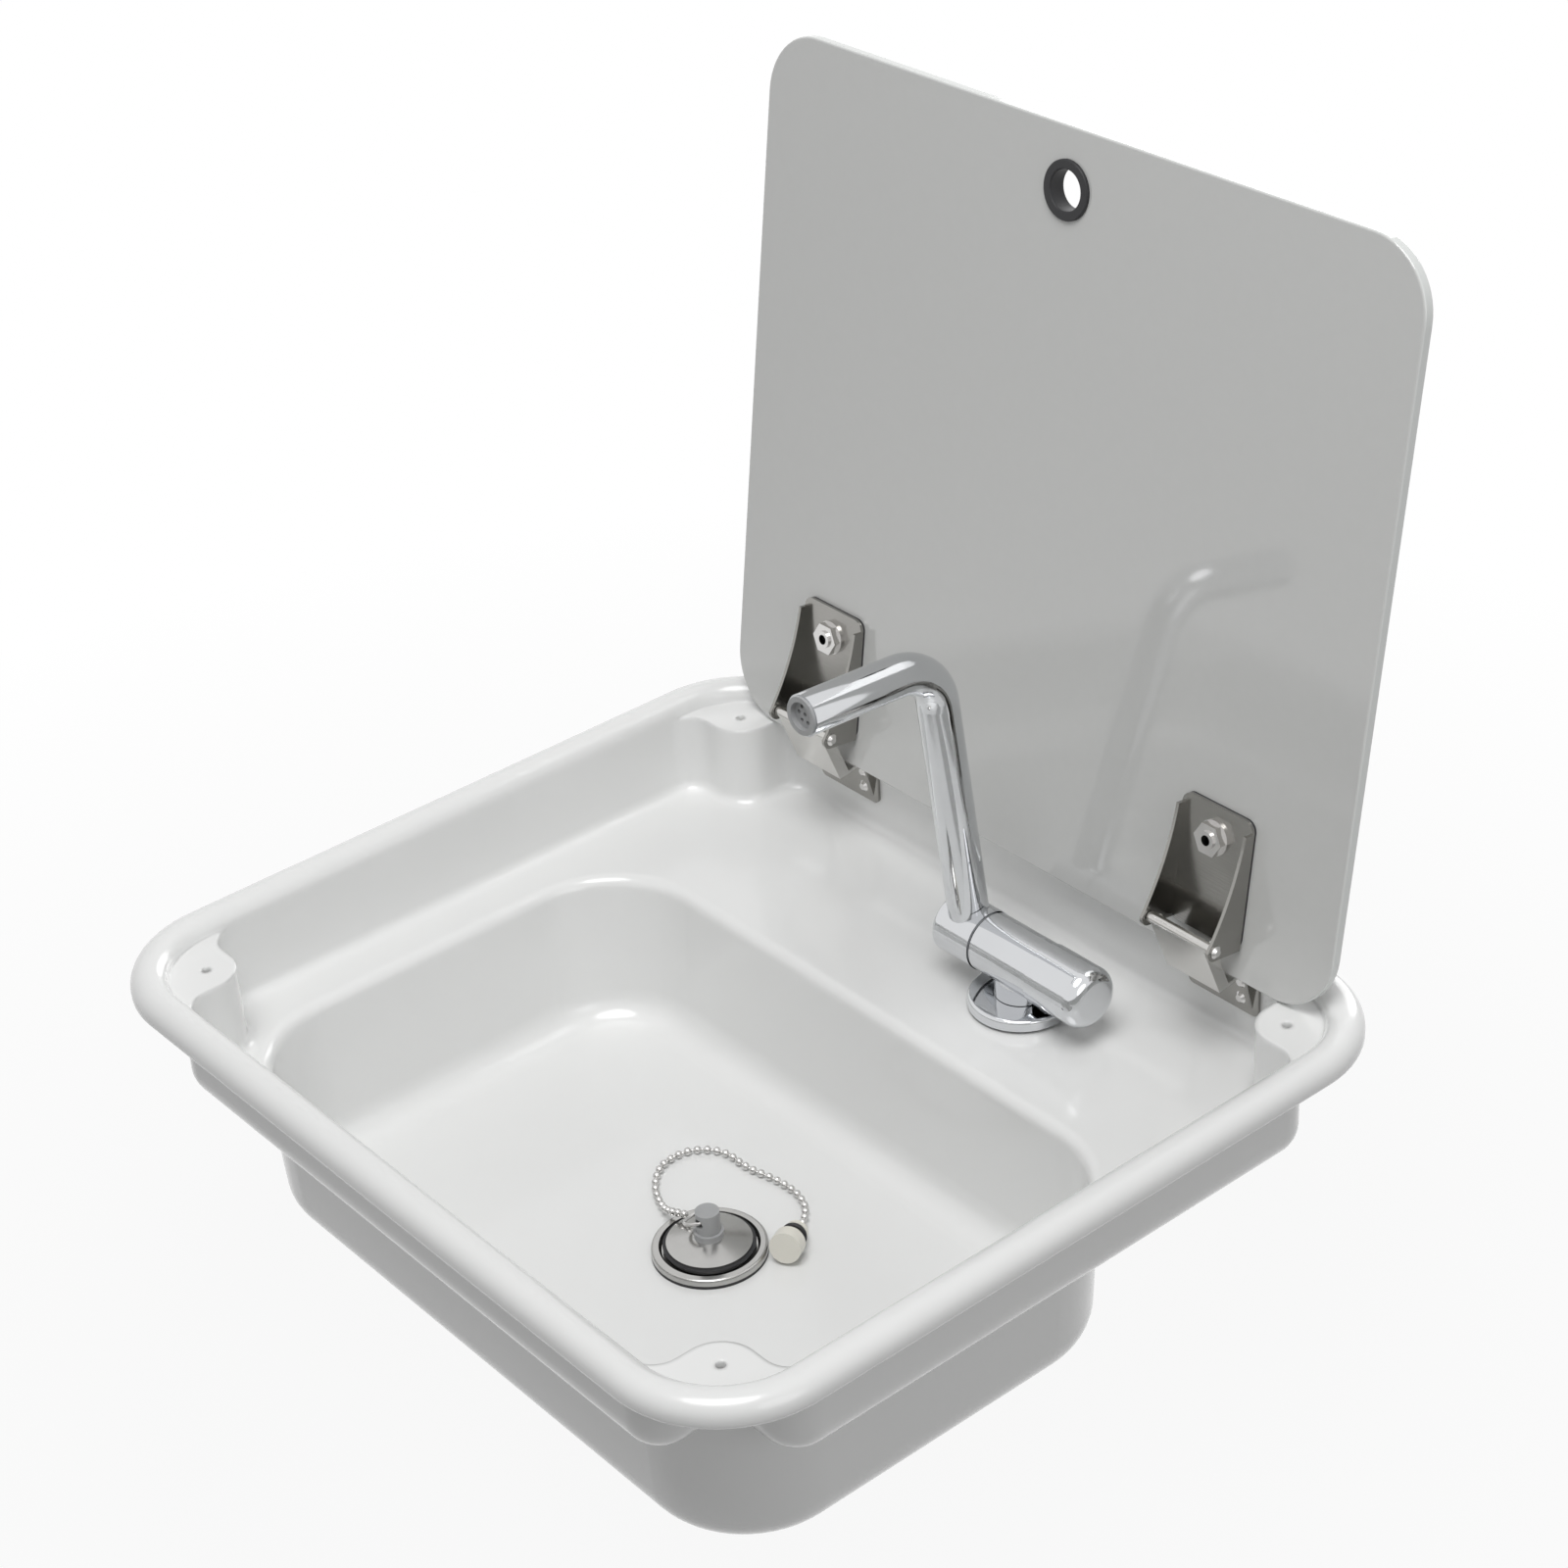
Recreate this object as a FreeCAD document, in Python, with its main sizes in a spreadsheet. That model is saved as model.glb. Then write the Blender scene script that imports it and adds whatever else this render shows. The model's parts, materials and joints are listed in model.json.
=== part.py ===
import FreeCAD, Part
import Sketcher
import math
import os
from types import SimpleNamespace

from FreeCAD import Placement, Rotation, Vector

# A drop-in camper sink: moulded basin, glass lid on two link hinges, folding tap, waste with plug and chain.
# Millimetres. Z = 0 is the worktop that the rim lies on, +Y points to the hinges, +X to the right.
# The origin is the middle of the four mounting screw holes.

SIZES = {
    # moulded basin
    "rim_width": 420,
    "rim_depth": 370,
    "rim_corner": 52,
    "rim_height": 12,
    "bead_width": 16,
    "bead_round": 7.5,
    "rim_under_round": 3,
    "groove_inset": 6.5,
    "groove_width": 5,
    "groove_depth": 7,
    "wall": 4,
    "screw_inset_x": 37,
    "screw_inset_y": 37.5,
    "screw_hole": 4,
    "pad_size": 35,
    "pad_corner": 16,
    "tray_corner": 12,
    "tray_round": 5,
    "tray_under_round": 14,
    "deck_drop": 35,
    "bowl_side_inset": 26.5,
    "bowl_front_inset": 23.5,
    "bowl_back_inset": 100.5,
    "bowl_corner": 46,
    "bowl_drop": 107.5,
    "bowl_draft": 3,
    "bowl_round": 14,
    "bowl_lip": 5.5,
    "drain_right": 11,
    "drain_front": 30,
    "drain_hole": 38,
    "tap_right": 47,
    "tap_inset": 50,
    "tap_hole": 33,
    # glass lid and its finger hole
    "lid_side_gap": 8.5,
    "lid_end_gap": 14.8,
    "lid_thickness": 5,
    "lid_corner": 29,
    "lid_edge": 1,
    "lid_lean": 8.15,
    "lid_low_edge_inset": 13.7,
    "lid_low_edge_up": 4.9,
    "lid_seat_gap": 0.3,
    "finger_inset": 25.7,
    "finger_bore": 17,
    "grommet_flange": 25,
    "grommet_neck": 20.6,
    "grommet_lip": 1.6,
    "grommet_round": 0.7,
    # hinges
    "hinge_inset": 66.5,
    "base_pin_inset": 4.5,
    "base_pin_up": 4,
    "sheet": 1.5,
    "pin": 3,
    "pin_fit": 0.05,
    "press_fit": 0.02,
    "knuckle": 4.8,
    "side_gap": 0.35,
    "link_width": 30,
    "upper_knuckle_width": 35,
    "upper_pin_out": 16.1,
    "upper_pin_up": 18.3,
    "rivet_head": 5.6,
    "rivet_proud": 1.6,
    "bracket_low": 14,
    "bracket_high": 72.4,
    "bracket_corner": 5,
    "gasket": 1,
    "lobe": 4.4,
    "cheek_top": 3.5,
    "base_width": 40,
    "base_high": -0.5,
    "base_low": -20.5,
    "base_corner": 3,
    "cheek_low": -17,
    "link_corner_front": 14.5,
    "link_corner_drop": 4,
    "link_flange": 5,
    "rivet": 3.2,
    "rivet_cap": 5.6,
    "rivet_dome": 1.2,
    "rivet_high": -6.5,
    "rivet_low": -14.5,
    "rivet_span": 20,
    "rivet_tail": 1.2,
    "lid_bolt_up": 58.5,
    "lid_bolt": 8,
    "lid_bolt_bore": 4.6,
    "lid_bolt_reach": 8,
    "lid_cap": 20,
    "lid_cap_thickness": 2.4,
    "lid_cap_round": 1.2,
    "nut_flats": 13,
    "nut_height": 3.5,
    "nut_washer": 15.5,
    "nut_washer_thickness": 1,
    # folding tap
    "tap_flange": 46,
    "tap_flange_height": 5,
    "tap_flange_round": 1.6,
    "tap_seal": 1.5,
    "shank": 30,
    "shank_bore": 19,
    "shank_length": 46,
    "locknut_flats": 41,
    "locknut_height": 8,
    "clamp_washer": 44,
    "clamp_thickness": 2,
    "tap_spigot": 13,
    "tap_spigot_height": 7,
    "tap_neck": 23,
    "tap_axis_up": 23.5,
    "tap_barrel": 27,
    "barrel_left": 17.7,
    "barrel_right": 16,
    "run_gap": 0.3,
    "fold_spigot": 16,
    "fold_spigot_length": 15,
    "fold_washer": 0.8,
    "collar": 27.6,
    "collar_width": 23,
    "collar_round": 2.5,
    "cartridge": 17,
    "cartridge_length": 22,
    "spindle": 8,
    "spindle_length": 12,
    "knob": 28,
    "knob_length": 29,
    "knob_round": 6,
    "pipe": 18,
    "pipe_bore": 15,
    "pipe_lean": 7,
    "pipe_rise": 145,
    "pipe_bend": 24,
    "pipe_reach": 68,
    "pipe_bow": 10,
    "aerator": 16.4,
    "aerator_depth": 9,
    "aerator_rim": 1.2,
    "aerator_hole": 1.8,
    # waste, plug and chain
    "flange_seal_thickness": 1.5,
    "waste_ring": 50,
    "waste_ring_height": 3,
    "waste_ring_round": 1.2,
    "plug_seat": 41,
    "waste_throat": 30.6,
    "waste_metal": 1.2,
    "waste_throat_drop": 13,
    "waste_web": 4,
    "waste_screw": 5,
    "waste_screw_head": 10,
    "waste_screw_cap": 2.4,
    "waste_bridge": 8,
    "waste_bridge_width": 5,
    "waste_boss": 10,
    "waste_flange": 60,
    "waste_flange_thickness": 4,
    "waste_body": 40,
    "waste_depth": 52,
    "waste_wall": 2.5,
    "waste_round": 8,
    "outlet": 28,
    "outlet_length": 30,
    "outlet_drop": 26,
    "outlet_rib": 0.8,
    "outlet_rib_width": 2,
    "outlet_rib_pitch": 4.5,
    "plug": 37,
    "plug_thickness": 1.2,
    "plug_rise": 2.6,
    "plug_seal": 40,
    "plug_seal_thickness": 2.2,
    "plug_knob": 10.5,
    "plug_knob_foot": 13,
    "plug_knob_foot_height": 3,
    "plug_knob_height": 13,
    "plug_knob_hole": 4.6,
    "plug_knob_hole_up": 8.5,
    "plug_ring": 14,
    "plug_ring_wire": 1.6,
    "plug_ring_tilt": 24,
    "chain_ball": 3.5,
    "stay_head": 14,
    "stay_head_length": 7,
    "stay_neck": 7.5,
    "stay_length": 17,
    "stay_seal_wire": 2,
    "stay_foot": 10,
    "stay_foot_length": 2.5,
    "lie_gap": 0.3,
    # how far a cutting shape runs past what it cuts
    "overrun": 2,
}
HINGE_SIDES = {"left": -1, "right": 1}
OUTLET_RIBS = 4

doc = FreeCAD.newDocument("camper_sink")
sheet = doc.addObject("Spreadsheet::Sheet", "dims")
for row, (alias, value) in enumerate(SIZES.items(), start=1):
    sheet.set("A%d" % row, alias)
    sheet.set("B%d" % row, str(value))
    sheet.setAlias("B%d" % row, alias)
doc.recompute()


class Size:
    """A number together with the sheet expression that gives it."""

    def __init__(self, value, text):
        self.value = float(value)
        self.text = text

    def __float__(self):
        return self.value

    def __add__(self, other):
        other = as_size(other)
        return Size(self.value + other.value, "(%s + %s)" % (self.text, other.text))

    def __sub__(self, other):
        other = as_size(other)
        return Size(self.value - other.value, "(%s - %s)" % (self.text, other.text))

    def __rsub__(self, other):
        return as_size(other) - self

    def __mul__(self, factor):
        return Size(self.value * factor, "(%s * %r)" % (self.text, factor))

    def __truediv__(self, factor):
        return Size(self.value / factor, "(%s / %r)" % (self.text, factor))

    def __neg__(self):
        return Size(-self.value, "(-1 * %s)" % self.text)

    __radd__ = __add__
    __rmul__ = __mul__


def as_size(item):
    return item if isinstance(item, Size) else Size(item, repr(item))


s = SimpleNamespace(**{alias: Size(value, "dims." + alias) for alias, value in SIZES.items()})
parts = []


def body(label, kept=True):
    """A new body; one that is not kept only serves as the pattern for a group."""
    made = doc.addObject("PartDesign::Body", label)
    made.Label = label
    if kept:
        parts.append(made)
    return made


def group(label, pattern, places):
    """Copies of one piece at several places, kept together as separate solids."""
    doc.recompute()
    made = doc.addObject("Part::Feature", label)
    made.Label = label
    copies = []
    for place in places:
        copy = pattern.Shape.copy()
        copy.Placement = place
        copies.append(copy)
    made.Shape = Part.makeCompound(copies)
    parts.append(made)
    return made


def sketch(owner, role, lift=0):
    """A sketch on one of the body's own origin planes, lifted along that plane's normal."""
    made = owner.newObject("Sketcher::SketchObject", "outline")
    support = next(item for item in owner.Origin.OriginFeatures if item.Role == role)
    made.AttachmentSupport = [(support, "")]
    made.MapMode = "FlatFace"
    made.setExpression("AttachmentOffset.Base.z", as_size(lift).text)
    return made


def tie(target, direction, geometry, end, value):
    """Hold one end of a line at a distance from the sketch's origin."""
    value = as_size(value)
    if value.value == 0:
        axis = -2 if direction == "X" else -1
        target.addConstraint(Sketcher.Constraint("PointOnObject", geometry, end, axis))
        return
    ends = (-1, 1, geometry, end) if value.value > 0 else (geometry, end, -1, 1)
    length = value if value.value > 0 else -value
    row = target.addConstraint(Sketcher.Constraint("Distance" + direction, *ends, length.value))
    target.setExpression("Constraints[%d]" % row, length.text)


def polygon(target, points):
    """A closed outline of straight sides, every corner tied to its sizes."""
    first = target.GeometryCount
    count = len(points)
    flat = [Vector(float(across), float(along), 0) for across, along in points]
    for index in range(count):
        target.addGeometry(Part.LineSegment(flat[index], flat[(index + 1) % count]))
    for index, (across, along) in enumerate(points):
        target.addConstraint(Sketcher.Constraint("Coincident", first + index - 1 + count * (index == 0), 2,
                                                 first + index, 1))
        tie(target, "X", first + index, 1, across)
        tie(target, "Y", first + index, 1, along)
    return target


def rounded(target, corners):
    """A closed outline of level and upright sides whose corners, given counter-clockwise, are arcs."""
    first = target.GeometryCount
    count = len(corners)
    flat = [Vector(float(across), float(along), 0) for across, along, radius in corners]
    radii = [float(radius) for across, along, radius in corners]
    ways = [(flat[(index + 1) % count] - flat[index]).normalize() for index in range(count)]
    for index in range(count):
        ahead = (index + 1) % count
        start = flat[index] + ways[index] * radii[index]
        target.addGeometry(Part.LineSegment(start, flat[ahead] - ways[index] * radii[ahead]))
    bends = []
    for index in range(count):
        before = ways[index - 1]
        left = before.cross(ways[index]).z > 0
        centre = flat[index] - before * radii[index] + ways[index] * radii[index]
        entry = flat[index] - before * radii[index] - centre
        leave = flat[index] + ways[index] * radii[index] - centre
        begin = entry if left else leave
        start = math.atan2(begin.y, begin.x)
        circle = Part.Circle(centre, Vector(0, 0, 1), radii[index])
        target.addGeometry(Part.ArcOfCircle(circle, start, start + math.pi / 2))
        bends.append(left)
    for index, (across, along, radius) in enumerate(corners):
        line, arc = first + index, first + count + index
        before = first + (index - 1) % count
        enter, leave = (1, 2) if bends[index] else (2, 1)
        target.addConstraint(Sketcher.Constraint("Tangent", before, 2, arc, enter))
        target.addConstraint(Sketcher.Constraint("Tangent", arc, leave, line, 1))
        row = target.addConstraint(Sketcher.Constraint("Radius", arc, radii[index]))
        target.setExpression("Constraints[%d]" % row, as_size(radius).text)
        level = abs(ways[index].y) < abs(ways[index].x)
        target.addConstraint(Sketcher.Constraint("Horizontal" if level else "Vertical", line))
        tie(target, "Y" if level else "X", line, 1, along if level else across)
    return target


def box_corners(left, right, front, back, radius):
    return [(left, front, radius), (right, front, radius), (right, back, radius), (left, back, radius)]


def circle(target, across, along, diameter):
    place = Vector(float(across), float(along), 0)
    radius = as_size(diameter) / 2
    ring = target.addGeometry(Part.Circle(place, Vector(0, 0, 1), radius.value))
    row = target.addConstraint(Sketcher.Constraint("Radius", ring, radius.value))
    target.setExpression("Constraints[%d]" % row, radius.text)
    tie(target, "X", ring, 3, across)
    tie(target, "Y", ring, 3, along)
    return target


def pad(owner, profile, length, down=False, draft=None):
    made = owner.newObject("PartDesign::Pad", "pad")
    made.Profile = profile
    made.setExpression("Length", as_size(length).text)
    made.Reversed = down
    if draft is not None:
        made.setExpression("TaperAngle", as_size(draft).text)
    profile.Visibility = False
    return made


def pocket(owner, profile, length, up=False, draft=None):
    """A cut into the solid; a cut that removes nothing is an error."""
    doc.recompute()
    volume = owner.Shape.Volume
    made = owner.newObject("PartDesign::Pocket", "pocket")
    made.Profile = profile
    made.setExpression("Length", as_size(length).text)
    made.Reversed = up
    if draft is not None:
        made.setExpression("TaperAngle", as_size(draft).text)
    doc.recompute()
    if owner.Shape.Volume >= volume:
        raise RuntimeError("a pocket of %s cuts nothing" % owner.Label)
    return made


def turn(owner, profile):
    """Revolve a half section about the upright axis of its sketch."""
    made = owner.newObject("PartDesign::Revolution", "turned")
    made.Profile = profile
    made.ReferenceAxis = (profile, ["V_Axis"])
    made.Angle = 360
    return made


def turned(label, points, place=Placement(), kept=True):
    """A body turned from a half section of (radius, height) points."""
    made = body(label, kept)
    turn(made, polygon(sketch(made, "XZ_Plane"), points))
    made.Placement = place
    return made


def round_edges(owner, radius, wanted):
    """Round the edges of a body's last feature that the test picks."""
    doc.recompute()
    last = owner.Tip
    names = ["Edge%d" % (index + 1) for index, edge in enumerate(last.Shape.Edges) if wanted(edge)]
    if not names:
        raise RuntimeError("no edge to round on %s" % owner.Label)
    made = owner.newObject("PartDesign::Fillet", "round")
    made.Base = (last, names)
    made.setExpression("Radius", as_size(radius).text)
    doc.recompute()
    if "Invalid" in made.State or made.Shape.isNull():
        raise RuntimeError("a round on %s failed" % owner.Label)
    return made


NEAR = 1e-4


def near(value, target):
    return abs(value - float(target)) < NEAR


def level_at(height):
    """Picks edges that lie wholly at one height."""
    return lambda edge: near(edge.BoundBox.ZMin, height) and near(edge.BoundBox.ZMax, height)


def ring_at(height, radius):
    """Picks a full circle about the Z axis at a height and a radius."""
    return lambda edge: level_at(height)(edge) and near(edge.BoundBox.XMax, radius) and edge.isClosed()


def at(across=0, along=0, up=0, rotation=Rotation()):
    return Placement(Vector(float(across), float(along), float(up)), rotation)


X_AXIS = Vector(1, 0, 0)
TURN_TO_RIGHT = Rotation(Vector(0, 1, 0), 90)
TURN_TO_BACK = Rotation(X_AXIS, -90)
TURN_TO_FRONT = Rotation(X_AXIS, 90)

# Moulded basin
basin = body("sink_basin")
half_width = s.rim_width / 2
half_depth = s.rim_depth / 2
inner_x = half_width - s.bead_width
inner_y = half_depth - s.bead_width
deck = -s.deck_drop
floor = -s.bowl_drop


def rim_outline(inset):
    return box_corners(inset - half_width, half_width - inset, inset - half_depth, half_depth - inset,
                       s.rim_corner - inset)


def tray_outline(grow):
    """The tray's outline, notched at its four corners where the lid's pads stay."""
    outer_x, outer_y = inner_x + grow, inner_y + grow
    notch_x, notch_y = outer_x - s.pad_size, outer_y - s.pad_size
    inside, outside = s.tray_corner + grow, s.pad_corner - grow
    return [
        (outer_x, -notch_y, inside), (outer_x, notch_y, inside), (notch_x, notch_y, outside),
        (notch_x, outer_y, inside), (-notch_x, outer_y, inside), (-notch_x, notch_y, outside),
        (-outer_x, notch_y, inside), (-outer_x, -notch_y, inside), (-notch_x, -notch_y, outside),
        (-notch_x, -outer_y, inside), (notch_x, -outer_y, inside), (notch_x, -notch_y, outside),
    ]


bowl_x = inner_x - s.bowl_side_inset
bowl_front = inner_y - s.bowl_front_inset
bowl_back = inner_y - s.bowl_back_inset


def bowl_outline(grow):
    return box_corners(-bowl_x - grow, bowl_x + grow, -bowl_front - grow, bowl_back + grow,
                       s.bowl_corner + grow)


pad(basin, rounded(sketch(basin, "XY_Plane"), rim_outline(0)), s.rim_height)
pad(basin, rounded(sketch(basin, "XY_Plane"), tray_outline(s.wall)), s.deck_drop + s.wall, down=True)
bowl_height = s.bowl_drop - s.deck_drop
pad(basin, rounded(sketch(basin, "XY_Plane", deck), bowl_outline(s.wall)), bowl_height + s.wall,
    down=True, draft=-s.bowl_draft)
round_edges(basin, s.bead_round, level_at(s.rim_height))
pocket(basin, rounded(sketch(basin, "XY_Plane", s.rim_height), rim_outline(s.bead_width)),
       s.rim_height - s.wall)
round_edges(basin, s.bead_round, lambda edge: level_at(s.rim_height)(edge)
            and edge.BoundBox.XMax < float(inner_x) + NEAR)
pocket(basin, rounded(sketch(basin, "XY_Plane", s.wall), tray_outline(0)), s.deck_drop + s.wall)
round_edges(basin, s.tray_round, level_at(deck))
pocket(basin, rounded(sketch(basin, "XY_Plane", deck), bowl_outline(0)), bowl_height, draft=-s.bowl_draft)
round_edges(basin, s.bowl_round, level_at(floor))


def bowl_side(edge):
    """Tells an edge of the bowl from one of the tray round it."""
    box = edge.BoundBox
    reach = float(bowl_x + s.wall) + NEAR
    back = float(bowl_back + s.wall) + NEAR
    front = float(bowl_front + s.wall) + NEAR
    return max(-box.XMin, box.XMax) < reach and box.YMax < back and -box.YMin < front


def bowl_mouth(edge):
    return level_at(deck)(edge) and bowl_side(edge)


round_edges(basin, s.bowl_lip, bowl_mouth)
round_edges(basin, s.bowl_round + s.wall, level_at(floor - s.wall))
round_edges(basin, s.tray_under_round, lambda edge: level_at(deck - s.wall)(edge) and not bowl_side(edge))
tap_x, tap_y = s.tap_right, inner_y - s.tap_inset
holes = sketch(basin, "XY_Plane", s.rim_height)
for side_x in (-1, 1):
    for side_y in (-1, 1):
        circle(holes, (half_width - s.screw_inset_x) * side_x, (half_depth - s.screw_inset_y) * side_y,
               s.screw_hole)
circle(holes, tap_x, tap_y, s.tap_hole)
circle(holes, s.drain_right, -s.drain_front, s.drain_hole)
pocket(basin, holes, s.rim_height + s.bowl_drop + s.wall + s.overrun)
groove = sketch(basin, "XY_Plane")
rounded(groove, rim_outline(s.groove_inset))
rounded(groove, rim_outline(s.groove_inset + s.groove_width))
pocket(basin, groove, s.groove_depth, up=True)


def under_rim(edge):
    """Tells the rim's outer lower edge from the groove's edges beside it."""
    box = edge.BoundBox
    past_x = max(-box.XMin, box.XMax) - float(half_width - s.groove_inset)
    past_y = max(-box.YMin, box.YMax) - float(half_depth - s.groove_inset)
    return level_at(0)(edge) and max(past_x, past_y) > NEAR


round_edges(basin, s.rim_under_round, under_rim)
lid_half = inner_x - s.lid_side_gap
lid_depth = inner_y * 2 - s.lid_end_gap
hinge_spread = lid_half - s.hinge_inset
rivet_places = [(s.rivet_span / 2 * side, up) for side in (-1, 1) for up in (s.rivet_high, s.rivet_low)]
wall_holes = sketch(basin, "XZ_Plane", -inner_y + s.overrun)
for side in HINGE_SIDES.values():
    for across, up in rivet_places:
        circle(wall_holes, hinge_spread * side + across, up, s.rivet + s.press_fit)
pocket(basin, wall_holes, s.wall + s.overrun * 2)

# Places that the lid and the hinges share. A point here is (back, up) in the YZ plane.
lean = math.radians(SIZES["lid_lean"])
low_edge = Vector(0, float(inner_y - s.lid_low_edge_inset), float(s.lid_low_edge_up))
up_lid = Vector(0, math.sin(lean), math.cos(lean))
out_lid = Vector(0, -math.cos(lean), math.sin(lean))
upper_pin = low_edge + up_lid * float(s.upper_pin_up) + out_lid * float(s.upper_pin_out)
base_pin = Vector(0, float(inner_y - s.base_pin_inset), float(s.base_pin_up))
open_arm = upper_pin - base_pin
lid_seat = s.wall + s.lid_seat_gap
closed_drop = float(lid_seat - s.upper_pin_out) - base_pin.z
closed_arm = Vector(0, -math.sqrt(open_arm.Length ** 2 - closed_drop ** 2), closed_drop)
link_swing = math.degrees(open_arm.getAngle(closed_arm))
lid_turn = Rotation(X_AXIS, -SIZES["lid_lean"])
print("upper pin", upper_pin, "base pin", base_pin, "link swing", round(link_swing, 4))
closed_back = base_pin.y + closed_arm.y + float(s.upper_pin_up)
print("the closed lid's gap to the rim in front", round(closed_back - float(lid_depth - inner_y), 2))


def on_lid(across=0):
    """Placement of lid pieces: X along the hinge line, Z up the glass, Y out of its back."""
    return at(across, low_edge.y, low_edge.z, lid_turn)


# Glass lid with the finger hole and the two bolt holes
lid = body("lid_glass")
glass = sketch(lid, "XZ_Plane")
rounded(glass, box_corners(-lid_half, lid_half, 0, lid_depth, s.lid_corner))
circle(glass, 0, lid_depth - s.finger_inset, s.grommet_neck)
for side in HINGE_SIDES.values():
    circle(glass, hinge_spread * side, s.lid_bolt_up, s.lid_bolt + s.press_fit)
pad(lid, glass, s.lid_thickness, down=True)
outline_half = float(lid_half - s.lid_corner)


def glass_rim(edge):
    box = edge.BoundBox
    flat = near(box.YMin, box.YMax)
    outer = max(abs(box.XMin), abs(box.XMax)) > outline_half - NEAR
    return flat and (outer or box.XLength > outline_half)


round_edges(lid, s.lid_edge, glass_rim)
lid.Placement = on_lid()

finger_up = float(lid_depth - s.finger_inset)
half_lip = s.lid_thickness / 2 + s.grommet_lip
grommet = turned("finger_hole_grommet", [
    (s.finger_bore / 2, -half_lip), (s.grommet_flange / 2, -half_lip),
    (s.grommet_flange / 2, -s.lid_thickness / 2), (s.grommet_neck / 2, -s.lid_thickness / 2),
    (s.grommet_neck / 2, s.lid_thickness / 2), (s.grommet_flange / 2, s.lid_thickness / 2),
    (s.grommet_flange / 2, half_lip), (s.finger_bore / 2, half_lip)])
round_edges(grommet, s.grommet_round, lambda edge: any(
    ring_at(height, radius)(edge) for height in (half_lip, -half_lip)
    for radius in (s.grommet_flange / 2, s.finger_bore / 2)))
grommet.Placement = on_lid() * at(0, s.lid_thickness / 2, finger_up, TURN_TO_BACK)


def upright_cheek(owner, outline, inner, thickness, side):
    """One plate of a hinge, square to the pins, from a closed list of YZ edges."""
    lift = inner if side > 0 else -(inner + thickness)
    profile = sketch(owner, "YZ_Plane", lift)
    for edge in outline:
        profile.addGeometry(edge)
    return pad(owner, profile, thickness)


def flat_point(back, up):
    return Vector(float(back), float(up), 0)


def chain_lines(points):
    return [Part.LineSegment(points[index], points[index + 1]) for index in range(len(points) - 1)]


def bracket_cheek_outline():
    """Cheek of the lid bracket: a lobe round the pin and a hollow curve up to the bracket's top."""
    face = -s.gasket
    pin_out, pin_up = float(s.upper_pin_out), float(s.upper_pin_up)
    reach = float(s.lobe)
    top = flat_point(face - s.sheet - s.cheek_top, s.bracket_high - s.bracket_corner)
    tip = flat_point(-pin_out - reach, pin_up)
    span = top - tip
    bow_share = 0.05
    hollow = (top + tip) * 0.5 + Vector(span.y, -span.x, 0) * bow_share
    foot = flat_point(-pin_out, pin_up - reach)
    diagonal = reach * math.sqrt(0.5)
    heel = flat_point(-pin_out - diagonal, pin_up - diagonal)
    low = flat_point(face, s.bracket_low)
    high = flat_point(face, s.bracket_high - s.bracket_corner)
    return [Part.Arc(top, hollow, tip), Part.Arc(tip, heel, foot), *chain_lines([foot, low, high, top])]


def base_cheek_outline():
    """Cheek of the hinge base: a lobe round the lower pin that slopes back to the wall."""
    reach = float(s.knuckle / 2)
    front = flat_point(base_pin.y - reach, base_pin.z)
    top = flat_point(base_pin.y, base_pin.z + reach)
    rear = flat_point(base_pin.y + reach, base_pin.z)
    wall_face = inner_y - s.sheet
    low, high = flat_point(wall_face, s.cheek_low), flat_point(wall_face, s.base_high)
    return [Part.Arc(rear, top, front), *chain_lines([front, low, high, rear])]


def tangent_foot(pin, corner, offset, side):
    """Where a line from the corner passes the pin at the offset, on the side given as 1 or -1."""
    along = corner - pin
    share = offset / along.Length
    along.normalize()
    square = Vector(-along.y, along.x, 0) * side
    return pin + along * (offset * share) + square * (offset * math.sqrt(1 - share ** 2))


def link_outlines():
    """Outlines of the link's plate, mitred at the bend under the glass, and of a side flange."""
    corner = flat_point(base_pin.y - float(s.link_corner_front), base_pin.z - float(s.link_corner_drop))
    half = float(s.sheet / 2)
    offset = float(s.knuckle / 2) - half
    top = tangent_foot(flat_point(upper_pin.y, upper_pin.z), corner, offset, -1)
    end = tangent_foot(flat_point(base_pin.y, base_pin.z), corner, offset, 1)
    down, back = (corner - top).normalize(), (end - corner).normalize()
    outer, inner = Vector(down.y, -down.x, 0), Vector(back.y, -back.x, 0)
    mitre = (outer + inner) / (1 + outer.dot(inner))
    strip = [top + outer * half, corner + mitre * half, end + inner * half, end - inner * half,
             corner - mitre * half, top - outer * half]
    deep = float(s.link_flange)
    foot = corner + back * deep
    flange = [top, corner, foot, top - outer * deep]
    return [chain_lines(points + points[:1]) for points in (strip, flange)]


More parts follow.
